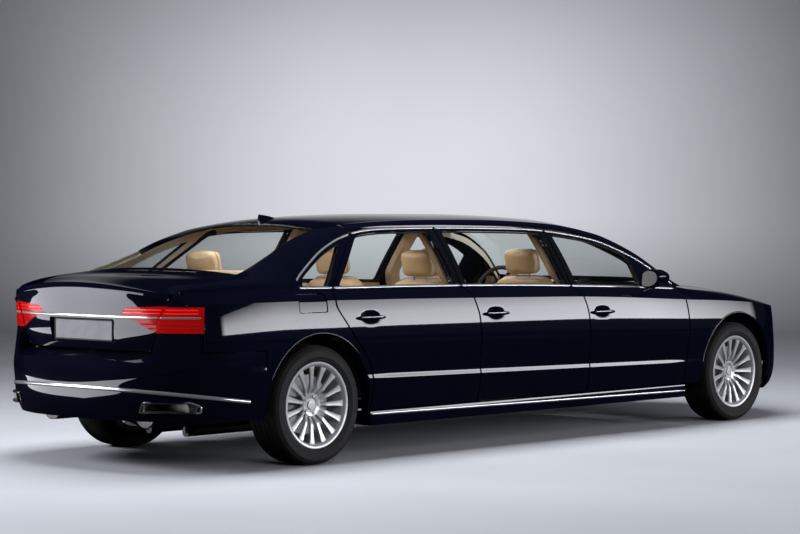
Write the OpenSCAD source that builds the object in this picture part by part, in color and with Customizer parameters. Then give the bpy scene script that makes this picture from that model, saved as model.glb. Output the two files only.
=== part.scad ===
/* [Overall size] */
// length over the bumpers
overall_length = 6360; // [5800:10:6600]
// distance between the axles
wheelbase = 4220; // [3900:10:4400]
// width over the body without mirrors
body_width = 1949; // [1880:1:1990]
// nose to front axle
front_overhang = 1007; // [950:1:1060]

/* [Wheels] */
// outer radius of the tyre
tyre_radius = 356; // [340:1:365]
// width of the tyre
tyre_width = 255; // [235:5:275]
// radius of the bead seat
rim_radius = 241; // [228:1:254]
// distance between the front wheels' centres
track_front = 1644; // [1600:1:1670]
// distance between the rear wheels' centres
track_rear = 1635; // [1600:1:1670]
// spokes of one wheel
spokes = 15; // [10:1:20]
// radius of the wheel arches
arch_radius = 425; // [410:1:440]

/* [Doors] */
// gap along the door edges
door_gap = 8; // [8:0.5:12]
// hinge axis behind the door's leading edge
hinge_set = 80; // [70:1:90]
// hinge axis inside the outer skin
hinge_depth = 22; // [20:1:26]
// radius of the hinge pins
pin_r = 6; // [5:0.5:8]
// radial clearance of a turning pin
run = 0.05; // [0.02:0.01:0.1]
// lower edge of the doors
door_bottom = 300; // [290:1:320]
// how far the door's inner edge lies ahead of its outer edge
lap = 20; // [18:1:24]

/* [Walls] */
// thickness of a door or body wall below the belt
wall = 90; // [80:1:100]
// thickness of the window frames
frame_wall = 40; // [30:1:50]
// thickness of the roof
roof_wall = 22; // [18:1:30]
// thickness of the panes
pane = 5; // [4:0.5:7]
// joint between pieces that seat on each other
seat_gap = 0.3; // [0.2:0.05:0.5]

/* [Hidden] */
half_l = overall_length / 2;
half_w = body_width / 2;
axle_f = half_l - front_overhang;
axle_r = axle_f - wheelbase;
nose_x = 2300;
tail_x = -2300;
$fa = 6;
$fs = 4;

// station heights along the body: x, shoulder crease, belt, top of the door openings
LINES = [
    [-3180, 940, 985, 993], [-2990, 962, 1012, 1020], [-2912, 970, 1034, 1043], [-2470, 974, 1049, 1079],
    [-2199, 975, 1047, 1078], [-2087, 974, 1045, 1143], [-1956, 973, 1043, 1215],
    [-1823, 972, 1041, 1278], [-1655, 970, 1040, 1337], [-1484, 969, 1039, 1377],
    [-1299, 967, 1039, 1397], [-1017, 963, 1036, 1404], [-547, 956, 1030, 1406],
    [-56, 948, 1021, 1400], [245, 943, 1012, 1392], [448, 938, 1005, 1376],
    [745, 928, 996, 1339], [939, 920, 989, 1298], [1199, 908, 979, 1195],
    [1349, 901, 972, 1108], [1450, 896, 967, 1042], [1543, 892, 962, 982], [1620, 888, 958, 970],
    [1976, 874, 944, 956], [2400, 848, 915, 925], [2700, 815, 880, 890], [3180, 740, 800, 810]];
// edge of the roof, the glass and the lids: x, half width, height
EDGE = [
    [-3080, 684, 1003], [-3010, 704, 1029], [-2950, 720, 1048], [-2800, 742, 1086], [-2640, 736, 1110],
        [-2470, 706, 1133],
    [-2342, 674, 1168], [-2134, 626, 1245], [-1982, 597, 1312], [-1827, 577, 1362], [-1700, 570, 1394],
    [-1478, 568, 1424], [-1000, 567, 1447], [-471, 566, 1452], [24, 568, 1446], [519, 582, 1421],
    [740, 594, 1394], [818, 602, 1380], [1014, 628, 1335], [1275, 692, 1222], [1428, 744, 1118],
    [1590, 806, 1000], [1640, 824, 966]];
// height of the centre line over the windscreen, roof, rear window and deck: x, height
CROWN = [
    [-3150, 1083], [-2950, 1104], [-2800, 1118], [-2640, 1129], [-2560, 1150], [-2134, 1296], [-1900, 1375],
    [-1700, 1433], [-1478, 1464], [-1000, 1486], [-471, 1491], [24, 1488], [519, 1471], [740, 1452],
    [1014, 1345], [1428, 1163], [1800, 1000]];
// door edges by height: z, rear door trailing, rear to middle, middle to front, front door leading
SPLIT = [
    [290, -1600, -628, 472, 1550], [450, -1598, -626, 473, 1560], [564, -1618, -626, 473, 1574],
    [654, -1679, -627, 472, 1586], [733, -1747, -628, 471, 1585], [852, -1844, -640, 455, 1572],
    [934, -1903, -668, 425, 1556], [986, -1905, -690, 400, 1548], [1042, -1880, -734, 362, 1543],
    [1215, -1685, -737, 366, 1543], [1312, -1575, -730, 370, 1543], [1400, -1484, -720, 374, 1543]];
// bonnet and wing tops: x, centre height, height at the bonnet's edge, half width of the bonnet
BONNET = [
    [1640, 1012, 966, 824], [1800, 1004, 955, 812], [2245, 982, 920, 780], [2484, 958, 890, 755],
    [2728, 915, 848, 722], [2900, 872, 806, 690], [3020, 832, 768, 655]];

// smooth curve through column k of a table at x
function seek(t, x, i = 0) = i >= len(t) - 2 || x < t[i + 1][0] ? i : seek(t, x, i + 1);
function lean(t, k, i) = let (a = max(i - 1, 0), b = min(i + 1, len(t) - 1))
    (t[b][k] - t[a][k]) / (t[b][0] - t[a][0]);
function curve(t, k, x) = let (i = seek(t, x), h = t[i + 1][0] - t[i][0],
    u = min(max((x - t[i][0]) / h, 0), 1), m0 = lean(t, k, i) * h, m1 = lean(t, k, i + 1) * h)
    t[i][k] * (2 * u * u * u - 3 * u * u + 1) + m0 * (u * u * u - 2 * u * u + u)
    + t[i + 1][k] * (3 * u * u - 2 * u * u * u) + m1 * (u * u * u - u * u);
function mix(a, b, f) = a + (b - a) * f;

// half width of the body in plan
function oval(u, n) = pow(max(1 - pow(u, n), 0), 1 / n);
function plan(x) = x > nose_x ? (half_w - 8.5) * oval((x - nose_x) / (half_l - nose_x), 2.55)
    : x < tail_x ? (half_w - 8.5) * oval((tail_x - x) / (half_l + tail_x), 3)
    : half_w - 8.5 * pow(x / nose_x, 2);
function shoulder(x) = curve(LINES, 1, x);
function belt(x) = curve(LINES, 2, x);
function opening(x) = max(curve(LINES, 3, x), belt(x) + 8);
function blade(x) = 497 - 0.0145 * x;
function edge_y(x) = curve(EDGE, 1, x);
function edge_z(x) = curve(EDGE, 2, x);

// how far the side lies inside its widest line at height z
function tuck(x, z) = let (c = blade(x), s = shoulder(x), b = belt(x))
    z > b ? 80 + 0.55 * (z - b) + 0.00038 * pow(z - b, 2)
    : z > s ? 20 + 60 * (z - s) / (b - s)
    : z > c ? let (t = (z - c) / (s - c)) t < 0.45 ? 4 * pow(1 - t / 0.45,
        2) : 20 * pow((t - 0.45) / 0.55, 2)
    : let (t = (c - z) / (c - 300)) 4 + 22 * t + 14 * pow(t, 3);
function side(x, z) = plan(x) - tuck(x, z);
function lining(x, z) = min(plan(x) - wall, side(x, z) - frame_wall);
function top(x, y) = mix(curve(CROWN, 1, x), edge_z(x), pow(abs(y) / edge_y(x), 2));

// plate between two grids of points with rows i and columns j
module plate(a, b) {
    m = len(a); n = len(a[0]);
    pts = concat([for (r = a) for (p = r) p], [for (r = b) for (p = r) p]);
    function at(i, j, s) = (s * m + i) * n + j;
    faces = concat(
        [for (i = [0 : m - 2]) for (j = [0 : n - 2]) for (f = [
            [at(i, j, 0), at(i, j + 1, 0), at(i + 1, j + 1, 0)], [at(i, j, 0), at(i + 1, j + 1, 0),
                at(i + 1, j, 0)],
            [at(i, j, 1), at(i + 1, j + 1, 1), at(i, j + 1, 1)], [at(i, j, 1), at(i + 1, j, 1), at(i + 1,
                j + 1, 1)]]) f],
        [for (j = [0 : n - 2]) for (f = [
            [at(0, j, 0), at(0, j, 1), at(0, j + 1, 1)], [at(0, j, 0), at(0, j + 1, 1), at(0, j + 1, 0)],
            [at(m - 1, j, 0), at(m - 1, j + 1, 1), at(m - 1, j, 1)],
            [at(m - 1, j, 0), at(m - 1, j + 1, 0), at(m - 1, j + 1, 1)]]) f],
        [for (i = [0 : m - 2]) for (f = [
            [at(i, 0, 0), at(i + 1, 0, 0), at(i + 1, 0, 1)], [at(i, 0, 0), at(i + 1, 0, 1), at(i, 0, 1)],
            [at(i, n - 1, 0), at(i + 1, n - 1, 1), at(i + 1, n - 1, 0)],
            [at(i, n - 1, 0), at(i, n - 1, 1), at(i + 1, n - 1, 1)]]) f]);
    polyhedron(pts, faces, convexity = 8);
}
// ring of points swept through stations
module sweep(rings) {
    m = len(rings); n = len(rings[0]);
    pts = [for (r = rings) for (p = r) p];
    faces = concat(
        [for (i = [0 : m - 2]) for (j = [0 : n - 1]) let (k = (j + 1) % n) for (f = [
            [i * n + j, (i + 1) * n + k, i * n + k], [i * n + j, (i + 1) * n + j, (i + 1) * n + k]]) f],
        [for (j = [1 : n - 2]) [0, j, j + 1]],
        [for (j = [1 : n - 2]) [(m - 1) * n, (m - 1) * n + j + 1, (m - 1) * n + j]]);
    polyhedron(pts, faces, convexity = 8);
}
module pair() { children(); mirror([0, 1, 0]) children(); }
module along_y(y0, y1) { translate([0, y1, 0]) rotate([90, 0, 0]) linear_extrude(y1 - y0) children(); }
module along_x(x0, x1) { translate([x0, 0, 0]) rotate([90, 0, 90]) linear_extrude(x1 - x0) children(); }
module axle_pin(x, y0, y1, z, r) { translate([x, y1, z]) rotate([90, 0, 0]) cylinder(r = r, h = y1 - y0); }

// heights of the rows of points on a side panel
function rows(x) = let (c = blade(x), s = shoulder(x), b = belt(x), t = opening(x))
    [door_bottom, mix(door_bottom, c, 0.6), c, mix(c, s, 0.3), mix(c, s, 0.65), s, mix(s, b, 0.5), b,
     mix(b, t, 0.25), mix(b, t, 0.5), mix(b, t, 0.75), t];
// door between split columns a and b
// where split column k crosses row i of the side
function meet(k, i, x, n = 8) = n == 0 ? x : meet(k, i, curve(SPLIT, k, min(rows(x)[i], 1400)), n - 1);
function door_x(a, b, u, i) = mix(meet(a, i, curve(SPLIT, a, 1000)) + door_gap / 2,
    meet(b, i, curve(SPLIT, b, 1000)) - door_gap / 2, u);
function lapped(x, z) = lap * (side(x, z) - lining(x, z)) / wall;
function door_grid(a, b, deep, n = 8) = [for (i = [0 : 11]) [for (j = [0 : n])
    let (x = door_x(a, b, j / n, i), z = rows(x)[i])
    deep == 0 ? [x, side(x, z), z] : [x + lapped(x, z), lining(x, z), z]]];
function pane_grid(a, b, d, n = 8) = [for (i = [7 : 11]) [for (j = [0 : n])
    let (x = door_x(a, b, j / n, i), z = rows(x)[i]) [x, side(x, z) - d, z + (i == 7 ? -20 : 20)]]];
// window outline of a door, m inside its opening: rear edge x0 to x1, front edge x2 to x3, bottom then top
function window(x0, x1, x2, x3, m) = concat(
    [for (k = [0 : 8]) let (x = mix(x0 + m, x3 - m, k / 8)) [x, belt(x) + 12 + m]],
    [for (k = [8 : -1 : 0]) let (x = mix(x1 + m, x2 - m, k / 8)) [x, opening(x) - 28 - m]]);
WINDOWS = [window(-1818, -1478, -782, -794, 0), window(-680, -668, 318, 308, 0), window(426, 430, 1140,
    1130, 0)];
function hinge_x(b) = curve(SPLIT, b, 690) - door_gap / 2 - hinge_set;
function hinge_y(b) = plan(hinge_x(b)) - hinge_depth;
HINGE_Z = [560, 820];

module door(a) {
    b = a + 1;
    w = a - 1;
    union() {
        difference() {
            plate(door_grid(a, b, 0), door_grid(a, b, 1));
            along_y(300, 1100) polygon(WINDOWS[w]);
            for (z = HINGE_Z) translate([hinge_x(b), hinge_y(b), z]) {
                translate([-16, -130, -30]) cube([130, 136, 60]);
                translate([0, 0, -30]) cylinder(r = 14, h = 60);
            }
        }
        for (z = HINGE_Z) translate([hinge_x(b), hinge_y(b), z - 42]) cylinder(r = pin_r, h = 84);
        translate([HANDLES[w][0], side(HANDLES[w][0], HANDLES[w][1]), HANDLES[w][1]]) handle();
    }
}
// handles by door: x, z of the middle
HANDLES = [[-1626, 863], [-482, 855], [606, 833]];
module handle() {
    for (x = [-92, 72]) translate([x, -10, -10]) cube([20, 34, 20]);
    translate([-108, 20, -13]) cube([216, 12, 26]);
}
module door_pane(a) {
    w = a - 1;
    m = 0.3;
    pts = a == 1 ? window(-1818, -1478, -782, -794, m) : a == 2 ? window(-680, -668, 318, 308, m)
        : window(426, 430, 1140, 1130, m);
    intersection() {
        plate(pane_grid(a, a + 1, 14), pane_grid(a, a + 1, 14 + pane));
        along_y(300, 1100) polygon(pts);
    }
}

// inner body side: sill, hinge and lock pillars, roof rail; the rail meets the rear quarter at JOIN_X
JOIN_X = -1522;
RAIL_X = [JOIN_X, -1240, -1000, -740, -471, -220, 24, 270, 519, 660, 740, 818, 920, 1014, 1140, 1275,
    1350, 1428, 1510, 1590];
function rail_ring(x) = let (t = opening(x) + door_gap + 2, d = side(x, t), y = edge_y(x), z = edge_z(x),
    q = t - 28)
    [[x, d, t], [x, mix(d, y, 0.45) + 5, mix(t, z, 0.55) + 5], [x, y, z], [x, y - 25, z - 27],
     [x, min(y - 40, d - 95), q], [x, d - 78, q], [x, d - 78, t]];
function post_y(x, z) = min(plan(x) - 150, side(x, z) - frame_wall - 34);
module post(xb, xt, w, ztop) {
    zs = [340, 600, 850, 1000, 1060, 1150, 1250, 1330, ztop];
    r = [for (z = zs) if (z <= ztop) z];
    function px(z) = mix(xb, xt, min(max((z - 980) / 100, 0), 1));
    plate([for (z = r) [for (s = [-1, 1]) [px(z) + s * w / 2, post_y(px(z), min(z, opening(px(z)))), z]]],
          [for (z = r) [for (s = [-1, 1]) [px(z) + s * w / 2, post_y(px(z), min(z, opening(px(z)))) - 45,
              z]]]);
}
module side_frame() {
    sill = [[928, 206], [934, 250], [930, 290], [824, 290], [824, 360], [762, 360], [762, 206]];
    difference() {
        union() {
            along_x(axle_r + arch_radius + 27.5, 1580) polygon(sill);
            sweep([for (x = RAIL_X) rail_ring(x)]);
            post(-660, -730, 110, opening(-730) - 4);
            post(440, 370, 110, opening(370) - 4);
            post(1490, 1450, 110, 1030);
            for (b = [2, 3, 4]) for (z = HINGE_Z) translate([hinge_x(b), hinge_y(b), z - 20]) {
                cylinder(r = 10, h = 40);
                translate([-7, -138, 0]) cube([14, 138, 40]);
            }
        }
        for (b = [2, 3, 4]) for (z = HINGE_Z)
            translate([hinge_x(b), hinge_y(b), z - 30]) cylinder(r = pin_r + run, h = 60);
    }
}

// rear quarter with the window pillar
QUARTER_N = 16;
QUARTER_END = -2945;
function quarter_x(u, i) = mix(QUARTER_END, i > 10 ? JOIN_X - seat_gap : meet(1, i, curve(SPLIT, 1,
    1000)) - door_gap / 2, u);
// the flange under the glass stops beside the boot lid
function flange(x) = x < -2490 ? -2 : 25;
// the wall thins out towards the tail
function quarter_in(x, z) = mix(lining(x, z), side(x, z) - 14, min(max((-2780 - x) / 100, 0), 1));
function quarter_grid(deep) = [for (i = [0 : 13]) [for (j = [0 : QUARTER_N])
    let (u = j / QUARTER_N, x = quarter_x(u, i), z = i < 12 ? rows(x)[i] : 0, t = opening(x), d = side(x,
        t),
         y = edge_y(x), e = edge_z(x))
    i < 12 ? (deep == 0 ? [x, side(x, z), z] : [x + (i < 11 ? lapped(x, z) * u : 0), quarter_in(x, z), z])
    : i == 12 ? (deep == 0 ? [x, mix(d, y, 0.45) + 5, mix(t, e, 0.55) + 5]
        : [x, max(mix(d, y, 0.6) - 30, y - flange(x) + 4), mix(t, e, 0.4) - 20])
    : (deep == 0 ? [x, y, e] : [x, y - flange(x), e - 27])]];
QUARTER_PANE = [for (m = [0, 0.3]) concat([for (k = [0 : 6]) let (x = mix(-2120 + 4 * m, -1908 - m,
    k / 6)) [x, belt(x) + 12 + m]],
    [for (k = [6 : -1 : 0]) let (x = mix(-2090 + 3 * m, -1640 - 3 * m, k / 6)) [x,
        max(opening(x) - 30 - m, belt(x) + 16 - m)]])];
// filler flap in the right quarter: x from, x to, z from, z to
FLAP = [-2210, -1990, 908, 1012];
FLAP_AXIS = [FLAP[1] - 40, plan(FLAP[1] - 40) - 36];
module flap_prism(m) along_y(700, 1100) polygon([[FLAP[0] - m, FLAP[2] - m + 12], [FLAP[0] - m + 12,
    FLAP[2] - m],
    [FLAP[1] + 2 * m - 12, FLAP[2] - m], [FLAP[1] + 2 * m, FLAP[2] - m + 12], [FLAP[1] + 2 * m,
        FLAP[3] + m], [FLAP[0] - m, FLAP[3] + m]]);
module quarter_panel(filler) {
    difference() {
        plate(quarter_grid(0), quarter_grid(1));
        along_y(300, 1100) polygon(QUARTER_PANE[0]);
        axle_pin(axle_r, 600, 1100, tyre_radius, arch_radius);
        translate([-3300, 300, 100]) cube([820, 900, 600]);
        translate([-3300, 300, 600]) cube([430, 900, 362]);
        if (filler) difference() {
            intersection() { flap_prism(5); translate([-2300, plan(-2100) - 84, 800]) cube([400, 200,
                300]); }
            for (z = [926, 966]) translate([FLAP_AXIS[0] - 5, FLAP_AXIS[1] - 70, z]) cube([10, 74, 6]);
            translate([FLAP_AXIS[0], FLAP_AXIS[1], 926]) cylinder(r = 3, h = 46);
        }
    }
}
function flap_grid(d) = [for (z = [FLAP[2] - 4, 940, shoulder(-2100), 990,
    FLAP[3] + 4]) [for (x = [FLAP[0] - 10, -2140, -2060, FLAP[1] + 10])
    [x, side(x, z) - d, z]]];
module fuel_flap() color("#10131f") mirror([0, 1, 0]) difference() {
    union() {
        intersection() { plate(flap_grid(0), flap_grid(6)); flap_prism(0); }
        translate([FLAP_AXIS[0], FLAP_AXIS[1], 937]) cylinder(r = 6, h = 24);
        translate([FLAP_AXIS[0] - 5, FLAP_AXIS[1], 937]) cube([10, 16, 24]);
    }
    translate([FLAP_AXIS[0], FLAP_AXIS[1], 930]) cylinder(r = 3 + run, h = 40);
}

// roof and screens share the stations of the pieces that carry them
BACK_X = [for (j = [0 : QUARTER_N]) mix(QUARTER_END, JOIN_X - seat_gap, j / QUARTER_N)];
HEAD_R = 14;
HEAD_F = 10;
ROOF_X = concat([for (j = [HEAD_R : QUARTER_N - 1]) BACK_X[j]], [for (k = [0 : HEAD_F]) RAIL_X[k]]);
ACROSS = [for (k = [-5 : 5]) k / 5];
function roof_grid(d) = [for (x = ROOF_X) let (e = edge_y(x) - 0.5 - d * 25 / 27) [for (c = ACROSS)
    [x, c * e, top(x, c * (edge_y(x) - 0.5)) - d]]];
function screen_base(c) = 1590 + 200 * (1 - c * c);
function screen_grid(d) = [for (k = [HEAD_F : len(RAIL_X) - 1]) let (v = (RAIL_X[k] - RAIL_X[HEAD_F]) / (1590 - RAIL_X[HEAD_F]))
    [for (c = ACROSS) let (x = mix(RAIL_X[HEAD_F] + 0.5, screen_base(c), v), e = edge_y(RAIL_X[k]) - 0.5)
    [x, c * (e - d * 25 / 27), top(x, c * e) - d]]];
BACK_END = 5;
function window_base(c) = BACK_X[BACK_END] - 45 * (1 - c * c);
function back_grid(d) = [for (j = [BACK_END : HEAD_R]) let (v = (BACK_X[HEAD_R] - BACK_X[j]) / (BACK_X[HEAD_R] - BACK_X[BACK_END]))
    [for (c = ACROSS) let (x = mix(BACK_X[HEAD_R] - 0.5, window_base(c), v), e = edge_y(BACK_X[j]) - 0.5)
    [x, c * (e - d * 25 / 27), top(x, c * e) - d]]];

// boot lid: deck rows from its front edge to the lip, then down the tail
LID_FRONT = 18;
LID_W = 8;
TAIL_N = 3.3;
function tail_at(y, a) = tail_x - a * oval(min(abs(y) / (half_w - 8.5), 1), TAIL_N);
// rows down the tail: height, reach behind the tail's start, half width
TAIL = [[1060, 808, 698], [1000, 792, 690], [930, 780, 656], [860, 772, 612], [780, 766, 596], [696, 738,
    545]];
function lip_z(y) = 1089 - 62 * pow(abs(y) / 700, 2);
function lid_point(i, c, d) = i < 6 ? let (v = i / 5, w = edge_y(mix(window_base(1) - LID_FRONT, -3005,
    v)) - LID_W,
        y = c * w, x = mix(window_base(c) - LID_FRONT, tail_at(y, 804), v), z = mix(top(x, y), lip_z(y),
            v * v * v))
        [x + (i == 5 ? d * 0.7 : 0), y - (i == 0 ? c * d * 0.83 : 0), z - d * 0.9]
    : let (r = TAIL[i - 6], y = c * r[2]) [tail_at(y, r[1]) + d, y, r[0] - (i == 6 ? d * 0.6 : 0)
        - (i == 6 ? 62 : i == 7 ? 30 : 0) * pow(abs(y) / 700, 2)];
function lid_grid(d) = [for (i = [11 : -1 : 0]) [for (c = ACROSS) lid_point(i, c, d)]];
LID_AXIS = [-2610, 300, 1112];
module lid_lamp_prism(m) along_x(-3300, -2850)
    polygon([[345 + 3 * m, 905], [400 + m, 948 - m], [720, 962 - m], [720, 812 + m], [590, 812 + m],
        [470, 868 + m]]);
module trunk_lid() color("#10131f") union() {
    difference() {
        plate(lid_grid(0), lid_grid(45));
        intersection() { plate(lid_grid(-6), lid_grid(20)); pair() lid_lamp_prism(0); }
        pair() translate(LID_AXIS) {
            translate([-16, -30, -90]) cube([130, 60, 96]);
            translate([0, -30, 0]) rotate([-90, 0, 0]) cylinder(r = 14, h = 60);
        }
    }
    pair() axle_pin(LID_AXIS[0], LID_AXIS[1] - 42, LID_AXIS[1] + 42, LID_AXIS[2], pin_r);
}
module lid_beam() {
    difference() {
        union() {
            translate([-2650, -690, 1000]) cube([70, 1380, 42]);
            pair() {
                axle_pin(LID_AXIS[0], LID_AXIS[1] - 20, LID_AXIS[1] + 20, LID_AXIS[2], 10);
                translate([LID_AXIS[0] - 7, LID_AXIS[1] - 20, 1030]) cube([14, 40, LID_AXIS[2] - 1030]);
            }
        }
        pair() axle_pin(LID_AXIS[0], LID_AXIS[1] - 30, LID_AXIS[1] + 30, LID_AXIS[2], pin_r + run);
    }
}

// rear bumper rows: height, reach behind the tail's start, half width, how square the corner is
REAR_ROWS = [[300, 840, 930, 2.7], [345, 858, 945, 2.7], [420, 876, 962, 2.7], [487, 880, 966, 2.7],
    [560, 876, 966, 2.8],
    [640, 852, 962, 3]];
function wrap(r, f, s, n, a0, x0) = [x0 + s * (r[1] - a0) * pow(max(cos(f), 0), 2 / n),
    (r[2] - a0) * sign(f) * pow(abs(sin(f)), 2 / n), r[0]];
function turn(a, n, reach) = acos(pow(reach / a, n / 2));
// columns round the bumper: 0 with an x, 1 with a y
REAR_COLS = [[0, -2484], [0, -2600], [0, -2720], [0, -2873], [0, -2884], [1, 700], [1, 618], [1, 562],
    [1, 430], [1, 300],
    [1, 150], [1, 0]];
function rear_turn(c, r, a0) = c[0] == 0 ? turn(r[1] - a0, r[3], tail_x - c[1])
    : asin(pow(c[1] * (1 - a0 / 900) / (r[2] - a0), r[3] / 2));
// shelf edge, then the row on top: beside the wheel, under the lamp, or along the boot lid
function shelf_z(y) = 659 - 53 * pow(min(abs(y), 835) / 835, 2);
function top_row(c) = c[0] == 0 && c[1] > -2876 ? [692, 846, 960, 3] : c[0] == 0 || c[1] > 600 ? [798,
    792, 968, 3.2]
    : [684, 748, 930, 3];
function rear_point(i, c, a0) = let (r = i < 6 ? REAR_ROWS[i] : top_row(c), a = i < 6 ? a0 : 0,
    p = wrap(r, rear_turn(c, r, a), -1, r[3], a, tail_x))
    i < 5 ? p : i == 5 ? [p[0], p[1], shelf_z(p[1])]
    : c[0] == 0 ? [p[0], p[1] - 0.6 * a0, p[2] - 0.4 * a0] : [p[0] + 0.43 * a0, p[1], p[2] - 0.4 * a0];
function rear_half(a0, s) = [for (i = [0 : 6]) [for (k = [0 : 11]) let (q = rear_point(i, REAR_COLS[k],
    a0)) [q[0], s * q[1], q[2]]]];
function rear_full(a0) = let (l = rear_half(a0, 1), r = rear_half(a0, -1))
    [for (i = [0 : 6]) concat([for (k = [0 : 10]) l[i][k]], [for (k = [11 : -1 : 0]) r[i][k]])];
function rear_flip(a0) = [for (r = rear_full(a0)) [for (k = [len(r) - 1 : -1 : 0]) r[k]]];
module rear_bumper() color("#10131f") difference() {
    plate(rear_flip(0), rear_flip(70));
    pair() along_x(-3300, -2890) polygon(tip(0));
}
// tail lamps
LAMP_ROWS = [[806, 770, 972], [880, 776, 974], [955, 786, 972]];
function lens_grid(d) = [for (r = LAMP_ROWS) [for (f = [25 : 3 : 55]) wrap(r, f, -1, 3.4, d, tail_x)]];
module tail_lamp() intersection() {
    plate(lens_grid(0), lens_grid(70));
    along_x(-3300, -2872) polygon([[606, 800], [1100, 800], [1100, 1000], [712, 990], [664, 930], [620,
        860]]);
}

// bonnet, wings, front bumper
function bonnet_rear(c) = 1755 + 95 * (1 - c * c);
function bonnet_front(c) = nose_x + 755 * oval(0.73 * abs(c), 2.55);
function bonnet_z(x, c) = mix(curve(BONNET, 1, x), curve(BONNET, 2, x), c * c);
function bonnet_grid(d) = [for (i = [0 : 10]) [for (c = ACROSS) let (x = mix(bonnet_rear(c),
    bonnet_front(c), i / 10), w = curve(BONNET, 3, x) - 3)
    [x, c * (w - d * 0.3), bonnet_z(x, c) - d]]];
BONNET_AXIS = [1700, 640, 895];
module hood() color("#10131f") union() {
    plate(bonnet_grid(0), bonnet_grid(26));
    pair() difference() {
        translate([BONNET_AXIS[0] - 12, BONNET_AXIS[1] - 30, BONNET_AXIS[2] - 12])
            along_y(0, 14) polygon([[0, 0], [24, 0], [160, 50], [160, 74], [112, 74], [0, 24]]);
        axle_pin(BONNET_AXIS[0], BONNET_AXIS[1] - 40, BONNET_AXIS[1] + 40, BONNET_AXIS[2], pin_r + run);
    }
}
WING_END = 2680;
WING_N = 12;
function wing_grid(deep) = [for (i = [0 : 7]) [for (j = [0 : WING_N])
    let (u = j / WING_N, xl = curve(SPLIT, 4, rows(1560)[min(i, 5)]) + door_gap / 2, x = mix(xl,
        WING_END, u),
         z = rows(x)[min(i, 5)], y = side(x, z), by = curve(BONNET, 3, x) + 3, bz = curve(BONNET, 2, x))
    i < 6 ? (deep == 0 ? [x, y, z] : [x + 9 * (1 - u), min(plan(x), y + 4) - 40, z])
    : i == 6 ? (deep == 0 ? [x, mix(y, by, 0.5), mix(z, bz, 0.6)] : [x + 9 * (1 - u), mix(y, by,
        0.5) - 4, mix(z, bz, 0.6) - 38])
    : (deep == 0 ? [x, by, bz] : [x + 9 * (1 - u), by + 6, bz - 36])]];
module wing() difference() {
    plate(wing_grid(0), wing_grid(1));
    axle_pin(axle_f, 600, 1100, tyre_radius, arch_radius);
}
FRONT_ROWS = [[205, 790, 880], [250, 850, 905], [340, 874, 930], [450, 880, 935], [560, 878, 934], [660,
    866, 928], [730, 840, 918], [785, 790, 900]];
FASCIA_X = WING_END + 4;
function front_top(k, a0) = let (t = abs(k) / 10, c = min(t / 0.7, 1) * (k < 0 ? -1 : 1),
    x = t < 0.7 ? bonnet_front(c) + 6 : mix(bonnet_front(1) + 6, FASCIA_X, (t - 0.7) / 0.3),
        w = curve(BONNET, 3, x))
    t < 0.7 ? [x - a0 * 0.008, c * (w + 3), bonnet_z(x - 6, c) - 4 - a0 * 0.54]
    : [x, c * (w + 3 + a0 * 0.02), curve(BONNET, 2, x) - 2 - a0 * 0.6];
function front_grid(a0) = concat([for (r = FRONT_ROWS) [for (k = [-10 : 10])
    wrap(r, turn(r[1] - a0, 2.55, FASCIA_X - nose_x) * (k < 0 ? -1 : 1) * pow(abs(k) / 10, 0.85), 1,
        2.55, a0, nose_x)]],
    [[for (k = [-10 : 10]) front_top(k, a0)]]);
GRILLE = [[-330, 470], [330, 470], [360, 560], [340, 740], [-340, 740], [-360, 560]];
LAMP = [[470, 660], [960, 640], [960, 752], [520, 740]];
function front_flip(a0) = [for (r = front_grid(a0)) [for (k = [len(r) - 1 : -1 : 0]) r[k]]];
module front_bumper() color("#10131f") difference() {
    plate(front_flip(0), front_flip(60));
    along_x(2600, 3300) polygon(GRILLE);
    pair() along_x(2600, 3300) polygon(LAMP);
    along_x(2600, 3300) polygon([[-560, 270], [560, 270], [600, 380], [-600, 380]]);
}
// lamp lens on the fascia's own surface: u outboard, v up
function fascia_x(y, z, d) = nose_x + (curve(FRONT_ROWS, 1, z) - d) * oval(min(y / (curve(FRONT_ROWS, 2,
    z) - d), 1), 2.55);
function lamp_grid(d) = [for (v = [0 : 0.25 : 1]) [for (u = [1 : -0.1 : 0])
    let (y = mix(mix(471, 519, v) + 1, 868, pow(u, 0.8)), z = mix(661 - 20 * (y - 470) / 490,
        739 + 12 * (y - 520) / 440, v))
    [fascia_x(y, z, d), y, z]]];
module headlamp() plate(lamp_grid(2), lamp_grid(40));
// slats that follow the nose in plan, as wide as the opening at their height
function nose_at(y, a) = nose_x + a * oval(abs(y) / (half_w - 40), 2.55);
function grille_half(z) = (z < 560 ? mix(330, 360, (z - 470) / 90) : mix(360, 340, (z - 560) / 180)) - 0.6;
module slat(z, h) translate([0, 0, z]) linear_extrude(h) let (w = min(grille_half(z), grille_half(z + h)))
    polygon(concat([for (k = [-6 : 6]) [nose_at(k * w / 6, 862), k * w / 6]],
        [for (k = [6 : -1 : -6]) [nose_at(k * w / 6, 838), k * w / 6]]));
module grille() color("#1a1a1a") union() {
    for (k = [0 : 8]) slat(474 + k * 32, 9);
    for (y = [-230, -115, 0, 115, 230]) translate([nose_at(y, 842), y - 5, 474]) cube([14, 10, 262]);
}
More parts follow.
